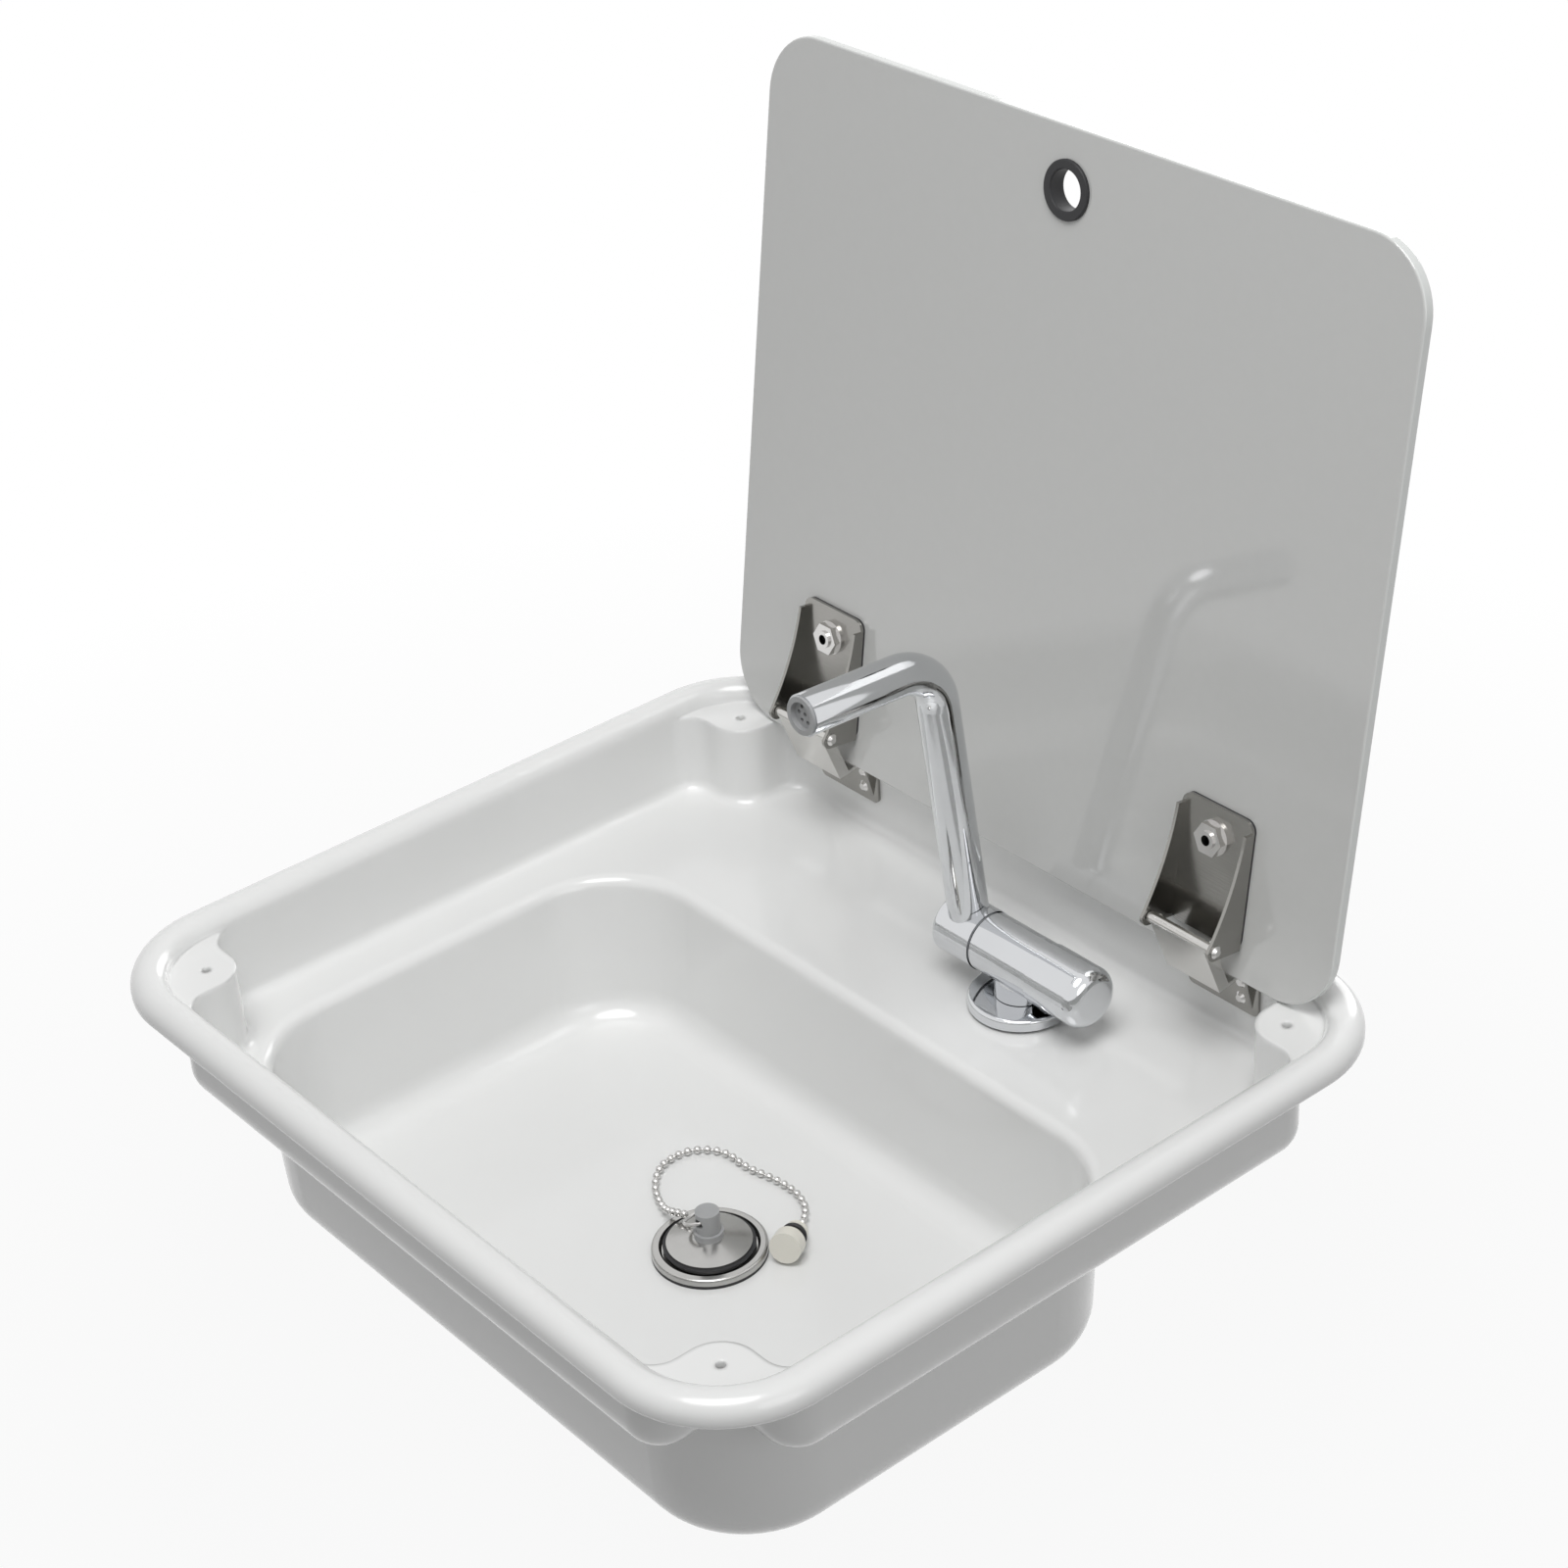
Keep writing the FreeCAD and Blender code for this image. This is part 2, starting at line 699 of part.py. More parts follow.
rivet_stack = s.sheet + s.wall
rivet = turned("rivet", [
    (0, -s.rivet_dome), (s.rivet / 2, -s.rivet_dome), (s.rivet_cap / 2, 0), (s.rivet / 2, 0),
    (s.rivet / 2, rivet_stack), (s.rivet_cap / 2, rivet_stack),
    (s.rivet_cap / 2, rivet_stack + s.rivet_tail), (0, rivet_stack + s.rivet_tail)], kept=False)
bracket_half = s.upper_knuckle_width / 2 + s.side_gap + s.sheet
for name, side in HINGE_SIDES.items():
    spread = hinge_spread * side
    bracket = body("lid_bracket_" + name)
    plate = sketch(bracket, "XZ_Plane", s.gasket)
    rounded(plate, box_corners(-bracket_half, bracket_half, s.bracket_low, s.bracket_high, s.bracket_corner))
    pad(bracket, plate, s.sheet)
    for cheek in (-1, 1):
        upright_cheek(bracket, bracket_cheek_outline(), bracket_half - s.sheet, s.sheet, cheek)
    bores = circle(sketch(bracket, "YZ_Plane", bracket_half + s.overrun), -s.upper_pin_out, s.upper_pin_up,
                   s.pin + s.press_fit)
    pocket(bracket, bores, bracket_half * 2 + s.overrun * 2)
    bolt_bore = circle(sketch(bracket, "XZ_Plane"), 0, s.lid_bolt_up, s.lid_bolt + s.press_fit)
    pocket(bracket, bolt_bore, s.gasket + s.sheet + s.overrun, up=True)
    bracket.Placement = on_lid(spread)

    gasket = body("bracket_gasket_" + name)
    pad_outline = sketch(gasket, "XZ_Plane")
    rounded(pad_outline, box_corners(-bracket_half, bracket_half, s.bracket_low, s.bracket_high,
                                     s.bracket_corner))
    circle(pad_outline, 0, s.lid_bolt_up, s.lid_bolt + s.press_fit)
    pad(gasket, pad_outline, s.gasket)
    gasket.Placement = on_lid(spread)

    # Hollow bolt from the cap on the outside of the glass to the nut inside
    bolt = turned("lid_bolt_" + name, [
        (s.lid_bolt_bore / 2, -s.lid_bolt_reach), (s.lid_bolt / 2, -s.lid_bolt_reach),
        (s.lid_bolt / 2, s.lid_thickness), (s.lid_cap / 2, s.lid_thickness),
        (s.lid_cap / 2, s.lid_thickness + s.lid_cap_thickness), (0, s.lid_thickness + s.lid_cap_thickness),
        (0, s.lid_thickness), (s.lid_bolt_bore / 2, s.lid_thickness)])
    round_edges(bolt, s.lid_cap_round, ring_at(s.lid_thickness + s.lid_cap_thickness, s.lid_cap / 2))
    bolt.Placement = on_lid(spread) * at(0, 0, s.lid_bolt_up, TURN_TO_BACK)

    nut = body("lid_nut_" + name)
    washer = sketch(nut, "XY_Plane")
    circle(washer, 0, 0, s.nut_washer)
    circle(washer, 0, 0, s.lid_bolt + s.press_fit)
    pad(nut, washer, s.nut_washer_thickness)
    hexagon = sketch(nut, "XY_Plane", s.nut_washer_thickness)
    corner = float(s.nut_flats) / math.sqrt(3)
    turns = [math.radians(60 * step) for step in range(7)]
    for edge in chain_lines([flat_point(corner * math.cos(a), corner * math.sin(a)) for a in turns]):
        hexagon.addGeometry(edge)
    circle(hexagon, 0, 0, s.lid_bolt + s.press_fit)
    pad(nut, hexagon, s.nut_height)
    nut.Placement = on_lid(spread) * at(0, -s.gasket - s.sheet, s.lid_bolt_up, TURN_TO_FRONT)

    # Pin with a riveted head at each end
    rivet_end = bracket_half + s.rivet_proud
    upper = turned("hinge_upper_pin_" + name, [
        (0, -rivet_end), (s.pin / 2, -rivet_end), (s.rivet_head / 2, -bracket_half - s.rivet_proud / 3),
        (s.rivet_head / 2, -bracket_half), (s.pin / 2, -bracket_half), (s.pin / 2, bracket_half),
        (s.rivet_head / 2, bracket_half), (s.rivet_head / 2, bracket_half + s.rivet_proud / 3),
        (s.pin / 2, rivet_end), (0, rivet_end)])
    upper.Placement = at(spread, upper_pin.y, upper_pin.z, TURN_TO_RIGHT)

    # Link: a bent plate with side flanges and a rolled knuckle at each end
    link = body("hinge_link_" + name)
    for pin, width in ((base_pin, s.link_width), (upper_pin, s.upper_knuckle_width)):
        roll = sketch(link, "YZ_Plane", -width / 2)
        roll.addGeometry(Part.Circle(flat_point(pin.y, pin.z), Vector(0, 0, 1), float(s.knuckle / 2)))
        pad(link, roll, width)
    plate_outline, flange_outline = link_outlines()
    strip = sketch(link, "YZ_Plane", -s.link_width / 2)
    for edge in plate_outline:
        strip.addGeometry(edge)
    pad(link, strip, s.link_width)
    for flange in (-1, 1):
        upright_cheek(link, flange_outline, s.link_width / 2 - s.sheet, s.sheet, flange)
    eyes = sketch(link, "YZ_Plane", s.upper_knuckle_width / 2 + s.overrun)
    for pin in (base_pin, upper_pin):
        eye = Part.Circle(flat_point(pin.y, pin.z), Vector(0, 0, 1), float(s.pin / 2 + s.pin_fit))
        eyes.addGeometry(eye)
    pocket(link, eyes, s.upper_knuckle_width + s.overrun * 2)
    link.Placement = at(spread)

    # Base plate on the tray's back wall, with two cheeks that carry the lower pin
    base = body("hinge_base_" + name)
    ears = sketch(base, "XZ_Plane", -inner_y)
    rounded(ears, box_corners(-s.base_width / 2, s.base_width / 2, s.base_low, s.base_high, s.base_corner))
    pad(base, ears, s.sheet)
    cheek_inner = s.link_width / 2 + s.side_gap
    for cheek in (-1, 1):
        upright_cheek(base, base_cheek_outline(), cheek_inner, s.sheet, cheek)
    pin_bores = sketch(base, "YZ_Plane", cheek_inner + s.sheet + s.overrun)
    pin_bores.addGeometry(Part.Circle(flat_point(base_pin.y, base_pin.z), Vector(0, 0, 1),
                                      float(s.pin / 2 + s.press_fit / 2)))
    pocket(base, pin_bores, (cheek_inner + s.sheet + s.overrun) * 2)
    ear_holes = sketch(base, "XZ_Plane", -inner_y)
    for across, up in rivet_places:
        circle(ear_holes, across, up, s.rivet + s.press_fit)
    pocket(base, ear_holes, s.sheet + s.overrun, up=True)
    base.Placement = at(spread)

    # Rivets through the ears and the basin's wall, one group of solids
    group("hinge_rivets_" + name, rivet, [at(spread + across, inner_y - s.sheet, up, TURN_TO_BACK)
                                          for across, up in rivet_places])

    lower_end = cheek_inner + s.sheet
    lower = turned("hinge_base_pin_" + name, [
        (0, -lower_end), (s.pin / 2, -lower_end), (s.pin / 2, lower_end), (0, lower_end)])
    lower.Placement = at(spread, base_pin.y, base_pin.z, TURN_TO_RIGHT)

# Folding tap: fixed base in the deck
seat = deck + s.tap_seal
flange_top = seat + s.tap_flange_height
tap_base = turned("tap_base", [
    (s.shank_bore / 2, -s.shank_length), (s.shank / 2, -s.shank_length), (s.shank / 2, 0),
    (s.tap_flange / 2, 0), (s.tap_flange / 2, s.tap_flange_height), (s.tap_spigot / 2, s.tap_flange_height),
    (s.tap_spigot / 2, s.tap_flange_height + s.tap_spigot_height),
    (0, s.tap_flange_height + s.tap_spigot_height), (0, 0), (s.shank_bore / 2, 0)])
round_edges(tap_base, s.tap_flange_round, ring_at(s.tap_flange_height, s.tap_flange / 2))
tap_base.Placement = at(tap_x, tap_y, seat)


def washer_ring(label, outer, inner, thickness, place):
    made = body(label)
    profile = sketch(made, "XY_Plane")
    circle(profile, 0, 0, outer)
    circle(profile, 0, 0, inner)
    pad(made, profile, thickness)
    made.Placement = place
    return made


washer_ring("tap_base_seal", s.tap_flange - s.tap_flange_round * 2, s.shank + s.pin_fit, s.tap_seal,
            at(tap_x, tap_y, deck))
under_deck = deck - s.wall
washer_ring("tap_clamp_washer", s.clamp_washer, s.shank + s.pin_fit, s.clamp_thickness,
            at(tap_x, tap_y, under_deck - s.clamp_thickness))
locknut = body("tap_locknut")
hexagon = sketch(locknut, "XY_Plane")
corner = float(s.locknut_flats) / math.sqrt(3)
for edge in chain_lines([flat_point(corner * math.cos(math.radians(60 * step)),
                                    corner * math.sin(math.radians(60 * step))) for step in range(7)]):
    hexagon.addGeometry(edge)
circle(hexagon, 0, 0, s.shank + s.pin_fit)
pad(locknut, hexagon, s.locknut_height)
locknut.Placement = at(tap_x, tap_y, under_deck - s.clamp_thickness - s.locknut_height)

# Tap body that swivels on the base: upright neck, level barrel and the spigot that the spout folds on
axis_up = deck + s.tap_axis_up
tap_body = body("tap_body")
neck_low = flange_top + s.run_gap - axis_up
neck = circle(sketch(tap_body, "XY_Plane", neck_low), 0, 0, s.tap_neck)
pad(tap_body, neck, -neck_low)
barrel = circle(sketch(tap_body, "YZ_Plane", -s.barrel_left), 0, 0, s.tap_barrel)
pad(tap_body, barrel, s.barrel_left + s.barrel_right)
spigot = circle(sketch(tap_body, "YZ_Plane", -s.barrel_left), 0, 0, s.fold_spigot)
pad(tap_body, spigot, s.fold_spigot_length, down=True)
swivel_bore = circle(sketch(tap_body, "XY_Plane", neck_low), 0, 0, s.tap_spigot + s.pin_fit * 2)
pocket(tap_body, swivel_bore, s.tap_spigot_height + s.run_gap, up=True)
cartridge_bore = circle(sketch(tap_body, "YZ_Plane", s.barrel_right), 0, 0, s.cartridge + s.pin_fit)
pocket(tap_body, cartridge_bore, s.cartridge_length)
tap_body.Placement = at(tap_x, tap_y, axis_up)

cartridge = turned("valve_cartridge", [
    (0, -s.cartridge_length), (s.cartridge / 2, -s.cartridge_length), (s.cartridge / 2, 0),
    (s.spindle / 2, 0), (s.spindle / 2, s.spindle_length), (0, s.spindle_length)])
cartridge.Placement = at(tap_x + s.barrel_right, tap_y, axis_up, TURN_TO_RIGHT)

knob = turned("tap_knob", [
    (s.spindle / 2 + s.pin_fit, 0), (s.knob / 2, 0), (s.knob / 2, s.knob_length), (0, s.knob_length),
    (0, s.spindle_length), (s.spindle / 2 + s.pin_fit, s.spindle_length)])
round_edges(knob, s.knob_round, ring_at(s.knob_length, s.knob / 2))
knob.Placement = at(tap_x + s.barrel_right + s.run_gap, tap_y, axis_up, TURN_TO_RIGHT)

# Spout that folds forward on the spigot; it is drawn upright and then leans about the fold axis
spout_lean = Rotation(X_AXIS, SIZES["pipe_lean"])
collar_right = -s.barrel_left - s.fold_washer - s.run_gap
collar_middle = collar_right - s.collar_width / 2
fold_bore = s.fold_spigot / 2 + s.pin_fit
bore_end = s.collar_width - s.fold_spigot_length
collar = turned("spout_collar", [
    (0, 0), (s.collar / 2, 0), (s.collar / 2, s.collar_width), (fold_bore, s.collar_width),
    (fold_bore, bore_end), (0, bore_end)])
round_edges(collar, s.collar_round, ring_at(0, s.collar / 2))
socket = circle(sketch(collar, "YZ_Plane", -s.collar / 2), 0, s.collar_width / 2, s.pipe + s.press_fit)
pocket(collar, socket, s.collar / 2 - s.fold_spigot / 2 - s.sheet, up=True)
collar.Placement = at(tap_x + collar_right - s.collar_width, tap_y, axis_up, spout_lean * TURN_TO_RIGHT)

pipe_foot = s.fold_spigot / 2 + s.sheet
spout = body("spout_pipe")
rise_top = float(s.pipe_rise - s.pipe_bend)
bow = math.radians(SIZES["pipe_bow"])
turn_angle = math.pi / 2 - bow
bend_centre = flat_point(-s.pipe_bend, rise_top)
bend = float(s.pipe_bend)
half_way = turn_angle / 2
start = flat_point(0, pipe_foot)
entry = flat_point(0, rise_top)
middle = bend_centre + Vector(math.cos(half_way), math.sin(half_way), 0) * bend
leave = bend_centre + Vector(math.cos(turn_angle), math.sin(turn_angle), 0) * bend
forward = Vector(-math.sin(turn_angle), math.cos(turn_angle), 0)
mouth = leave + forward * ((leave.x + float(s.pipe_reach)) / -forward.x)
route = sketch(spout, "YZ_Plane")
for edge in (Part.LineSegment(start, entry), Part.Arc(entry, middle, leave), Part.LineSegment(leave, mouth)):
    route.addGeometry(edge)
section = sketch(spout, "XY_Plane", pipe_foot)
circle(section, 0, 0, s.pipe)
circle(section, 0, 0, s.pipe_bore)
doc.recompute()
swept = spout.newObject("PartDesign::AdditivePipe", "swept")
swept.Profile = section
swept.Spine = (route, ["Edge1", "Edge2", "Edge3"])
spout.Placement = at(tap_x + collar_middle, tap_y, axis_up, spout_lean)

# Aerator: a rim that hides the pipe's end and a grid of jets inside it
mouth_angle = math.degrees(math.atan2(forward.y, forward.x))
aerator = turned("spout_aerator", [
    (0, -s.aerator_depth), (s.pipe_bore / 2 - s.pin_fit, -s.aerator_depth), (s.pipe_bore / 2 - s.pin_fit, 0),
    (s.aerator / 2, 0), (s.aerator / 2, s.aerator_rim), (s.pipe_bore / 2 - s.sheet, s.aerator_rim),
    (s.pipe_bore / 2 - s.sheet, -s.aerator_rim), (0, -s.aerator_rim)])
jets = sketch(aerator, "XY_Plane")
for ring, count in ((0, 1), (1, 6)):
    for step in range(count):
        angle = 2 * math.pi * step / count
        reach = s.aerator_hole * 2 * ring
        jet = flat_point(float(reach) * math.cos(angle), float(reach) * math.sin(angle))
        jets.addGeometry(Part.Circle(jet, Vector(0, 0, 1), float(s.aerator_hole / 2)))
pocket(aerator, jets, s.aerator_depth + s.overrun)
mouth_place = at(0, mouth.x, mouth.y, Rotation(X_AXIS, mouth_angle - 90))
aerator.Placement = spout.Placement * mouth_place

washer_ring("spout_washer", s.tap_barrel - s.collar_round, s.fold_spigot + s.pin_fit * 2, s.fold_washer,
            at(tap_x - s.barrel_left, tap_y, axis_up, Rotation(Vector(0, 1, 0), -90)))

# Waste in the bowl's floor
drain = (s.drain_right, -s.drain_front)
washer_ring("waste_flange_seal", s.waste_ring, s.waste_throat + s.waste_metal * 2 + s.run_gap,
            s.flange_seal_thickness, at(*drain, floor))
ring_low = floor + s.flange_seal_thickness
throat = s.waste_throat / 2 + s.waste_metal
strainer = turned("waste_strainer", [
    (0, -s.waste_throat_drop), (throat, -s.waste_throat_drop), (throat, 0), (s.waste_ring / 2, 0),
    (s.waste_ring / 2, s.waste_ring_height), (s.plug_seat / 2 + s.waste_metal, s.waste_ring_height),
    (s.plug_seat / 2, s.waste_metal), (s.waste_throat / 2, s.waste_metal),
    (s.waste_throat / 2, s.waste_metal - s.waste_throat_drop), (0, s.waste_metal - s.waste_throat_drop)])
round_edges(strainer, s.waste_ring_round, ring_at(s.waste_ring_height, s.waste_ring / 2))
slots = sketch(strainer, "XY_Plane", s.overrun - s.waste_throat_drop)
slot_outer = float(s.waste_throat / 2 - s.waste_metal)
slot_inner = float(s.waste_screw_head / 2 + s.waste_metal)
web = float(s.waste_web / 2)
for quarter in range(4):
    facing = Rotation(Vector(0, 0, 1), 90 * quarter)
    inner_side = math.sqrt(slot_inner ** 2 - web ** 2)
    outer_side = math.sqrt(slot_outer ** 2 - web ** 2)
    diagonal = Vector(math.sqrt(0.5), math.sqrt(0.5), 0)
    corners = [Vector(inner_side, web, 0), Vector(outer_side, web, 0), Vector(web, outer_side, 0),
               Vector(web, inner_side, 0)]
    corners = [facing.multVec(corner) for corner in corners]
    outer_middle = facing.multVec(diagonal * slot_outer)
    inner_middle = facing.multVec(diagonal * slot_inner)
    for edge in (Part.LineSegment(corners[0], corners[1]), Part.Arc(corners[1], outer_middle, corners[2]),
                 Part.LineSegment(corners[2], corners[3]), Part.Arc(corners[3], inner_middle, corners[0])):
        slots.addGeometry(edge)
circle(slots, 0, 0, s.waste_screw + s.press_fit)
pocket(strainer, slots, s.waste_metal + s.overrun * 2)
strainer.Placement = at(*drain, ring_low)

under_floor = floor - s.wall
body_top = under_floor - s.flange_seal_thickness
washer_ring("waste_body_seal", s.waste_flange, s.drain_hole, s.flange_seal_thickness, at(*drain, body_top))

waste = body("waste_body")
shell = sketch(waste, "XZ_Plane")
bore = s.waste_body / 2 - s.waste_wall
polygon(shell, [
    (0, -s.waste_depth), (s.waste_body / 2, -s.waste_depth), (s.waste_body / 2, -s.waste_flange_thickness),
    (s.waste_flange / 2, -s.waste_flange_thickness), (s.waste_flange / 2, 0), (0, 0)])
turn(waste, shell)
round_edges(waste, s.waste_round, ring_at(-s.waste_depth, s.waste_body / 2))
spout_back = sketch(waste, "XZ_Plane")
circle(spout_back, 0, -s.outlet_drop, s.outlet)
outlet_end = s.waste_body / 2 + s.outlet_length
pad(waste, spout_back, outlet_end, down=True)
for index in range(OUTLET_RIBS):
    rib = sketch(waste, "XZ_Plane", s.outlet_rib_pitch * (index + 1) - outlet_end)
    circle(rib, 0, -s.outlet_drop, s.outlet + s.outlet_rib * 2)
    pad(waste, rib, s.outlet_rib_width)
chamber = circle(sketch(waste, "XY_Plane"), 0, 0, s.waste_body - s.waste_wall * 2)
pocket(waste, chamber, s.waste_depth - s.waste_wall)
outlet_bore = circle(sketch(waste, "XZ_Plane"), 0, -s.outlet_drop, s.outlet - s.waste_wall * 2)
pocket(waste, outlet_bore, outlet_end + s.overrun)
bridge_top = ring_low - s.waste_throat_drop - body_top
bridge = sketch(waste, "XY_Plane", bridge_top)
reach = s.waste_body / 2 - s.waste_wall / 2
polygon(bridge, [(-reach, -s.waste_bridge_width / 2), (reach, -s.waste_bridge_width / 2),
                 (reach, s.waste_bridge_width / 2), (-reach, s.waste_bridge_width / 2)])
pad(waste, bridge, s.waste_bridge, down=True)
boss = circle(sketch(waste, "XY_Plane", bridge_top), 0, 0, s.waste_boss)
pad(waste, boss, s.waste_bridge, down=True)
screw_bore = circle(sketch(waste, "XY_Plane", bridge_top), 0, 0, s.waste_screw + s.press_fit)
pocket(waste, screw_bore, s.waste_bridge)
waste.Placement = at(*drain, body_top)

turned("waste_screw", [
    (0, -s.waste_metal - s.waste_bridge), (s.waste_screw / 2, -s.waste_metal - s.waste_bridge),
    (s.waste_screw / 2, 0), (s.waste_screw_head / 2, 0), (s.waste_screw_head / 2, s.waste_screw_cap / 2),
    (s.waste_screw / 2, s.waste_screw_cap), (0, s.waste_screw_cap)],
    at(*drain, ring_low - s.waste_throat_drop + s.waste_metal))

# Plug: dished disc, soft seal under it, knob on top
seal_low = ring_low + s.waste_metal + s.lie_gap
plug_low = seal_low + s.plug_seal_thickness
plug_flat = s.plug_knob_foot / 2
turned("plug_seal", [
    (plug_flat, 0), ((s.plug_seal - s.plug_seal_thickness) / 2, 0),
    (s.plug_seal / 2, s.plug_seal_thickness), (plug_flat, s.plug_seal_thickness)], at(*drain, seal_low))
turned("plug_disc", [
    (0, s.plug_rise), (plug_flat, s.plug_rise), (s.plug / 2, 0), (s.plug / 2, s.plug_thickness),
    (plug_flat, s.plug_rise + s.plug_thickness), (0, s.plug_rise + s.plug_thickness)], at(*drain, plug_low))
knob_low = plug_low + s.plug_rise + s.plug_thickness
plug_knob = turned("plug_knob", [
    (0, 0), (s.plug_knob_foot / 2, 0), (s.plug_knob_foot / 2, s.plug_knob_foot_height),
    (s.plug_knob / 2, s.plug_knob_foot_height), (s.plug_knob / 2, s.plug_knob_height),
    (0, s.plug_knob_height)])
cross = circle(sketch(plug_knob, "XZ_Plane", s.plug_knob), 0, s.plug_knob_hole_up, s.plug_knob_hole)
pocket(plug_knob, cross, s.plug_knob * 2)
plug_knob.Placement = at(*drain, knob_low)

ring_up = knob_low + s.plug_knob_hole_up
ring_half = float(s.plug_ring / 2)
ring_sag = ring_half - math.sqrt(ring_half ** 2 - float(s.plug_knob / 2) ** 2)
ring_reach = ring_half - ring_sag / 2
tilt = Rotation(Vector(0, 1, 0), -SIZES["plug_ring_tilt"])
ring_centre = at(*drain, ring_up).Base + tilt.multVec(Vector(-ring_reach, 0, 0))
chain_ring = doc.addObject("Part::Torus", "plug_ring")
chain_ring.Label = "plug_ring"
chain_ring.setExpression("Radius1", (s.plug_ring / 2).text)
chain_ring.setExpression("Radius2", (s.plug_ring_wire / 2).text)
chain_ring.Placement = Placement(ring_centre, tilt)
parts.append(chain_ring)

# Ball chain from the ring to its stay, loose on the bowl's floor. Points are from the drain's middle.
lie = float(s.chain_ball / 2 + s.lie_gap)
CHAIN_ROUTE = [
    (-13.0, 0.0, 12.0), (-21.0, -1.0, 9.6), (-29.0, 0.0, 5.2), (-38.0, 3.0, lie), (-50.0, 9.0, lie),
    (-60.0, 21.0, lie), (-59.0, 37.0, lie), (-47.0, 47.0, lie), (-31.0, 46.0, lie), (-17.0, 50.0, lie),
    (-2.0, 51.0, lie), (12.0, 45.0, lie), (20.0, 32.0, 4.2),
]
TANGENT_SHARE = 0.45


def route_edges(points):
    """Straight runs joined by arcs that are as large as their two runs allow."""
    edges = []
    here = points[0]
    for index in range(1, len(points) - 1):
        corner = points[index]
        back, ahead = points[index - 1] - corner, points[index + 1] - corner
        reach = TANGENT_SHARE * min(back.Length, ahead.Length)
        turn_by = math.pi - back.getAngle(ahead)
        radius = reach / math.tan(turn_by / 2)
        back.normalize()
        ahead.normalize()
        enter, leave = corner + back * reach, corner + ahead * reach
        inward = (back + ahead).normalize()
        middle = corner + inward * (radius / math.cos(turn_by / 2) - radius)
        edges.append(Part.LineSegment(here, enter).toShape())
        edges.append(Part.Arc(enter, middle, leave).toShape())
        print("chain bend", index, "radius", round(radius, 1))
        here = leave
    edges.append(Part.LineSegment(here, points[-1]).toShape())
    return edges


drain_middle = at(*drain, floor).Base
chain_points = [drain_middle + Vector(*point) for point in CHAIN_ROUTE]
chain_path = Part.Wire(route_edges(chain_points))
first_way = (chain_points[1] - chain_points[0]).normalize()
ball = float(s.chain_ball / 2)
chain_section = Part.Wire(Part.Circle(chain_points[0], first_way, ball).toShape())
chain = doc.addObject("Part::Feature", "plug_chain")
chain.Label = "plug_chain"
chain.Shape = chain_path.makePipeShell([chain_section], True, False)
parts.append(chain)
print("chain length", round(chain_path.Length, 1), "volume over section times length",
      round(chain.Shape.Volume / (math.pi * ball ** 2 * chain_path.Length), 4))

# Chain stay: stud with a wide head, a soft ring on its neck and a foot that the chain ends at
last_way = chain_points[-1] - chain_points[-2]
stay_heading = math.degrees(math.atan2(last_way.y, last_way.x))
foot_radius, head_radius = float(s.stay_foot / 2), float(s.stay_head / 2)
stay_span = float(s.stay_length - s.stay_head_length)
stay_pitch = math.degrees(math.asin((head_radius - foot_radius) / stay_span))
stay_turn = Rotation(Vector(0, 0, 1), stay_heading) * Rotation(Vector(0, 1, 0), 90 - stay_pitch)
foot_place = chain_points[-1] + stay_turn.multVec(Vector(0, 0, float(s.lie_gap)))
foot_place.z = float(floor + s.lie_gap) + foot_radius * math.cos(math.radians(stay_pitch))
stay_place = Placement(foot_place, stay_turn)
head_low = s.stay_length - s.stay_head_length
turned("chain_stay", [
    (0, 0), (s.stay_foot / 2, 0), (s.stay_foot / 2, s.stay_foot_length),
    (s.stay_neck / 2, s.stay_foot_length), (s.stay_neck / 2, head_low), (s.stay_head / 2, head_low),
    (s.stay_head / 2, s.stay_length), (0, s.stay_length)], stay_place)
stay_seal = doc.addObject("Part::Torus", "stay_seal")
stay_seal.Label = "stay_seal"
stay_seal.setExpression("Radius1", ((s.stay_neck + s.stay_seal_wire + s.press_fit) / 2).text)
stay_seal.setExpression("Radius2", (s.stay_seal_wire / 2).text)
stay_seal.Placement = stay_place * at(0, 0, s.stay_foot_length + s.stay_seal_wire)
parts.append(stay_seal)

# Check every object, then write each sub-part
doc.recompute()
for item in doc.Objects:
    if "Invalid" in item.State or "Error" in item.State:
        raise RuntimeError("%s did not build" % item.Label)
os.makedirs("parts", exist_ok=True)
for item in parts:
    if item.Shape.isNull() or not item.Shape.isValid():
        raise RuntimeError("%s has no valid shape" % item.Label)
    item.Shape.exportStep("parts/%s.step" % item.Label)
    print(item.Label, len(item.Shape.Solids), round(item.Shape.Volume, 1))
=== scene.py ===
# %% [markdown]
# # A camper sink
#
# The solids of the sink come ready made from the CAD model. This lesson lights them, gives each
# piece the finish of the real one, and adds what is too fine for the CAD model: the balls of the
# plug's chain and the thread of the tap. We work in metres, in the CAD model's own frame: Z is
# zero on the worktop, +Y points to the hinges and +X to the right.

import json
import math
from collections import namedtuple

import bmesh
import bpy
from mathutils import Matrix, Vector


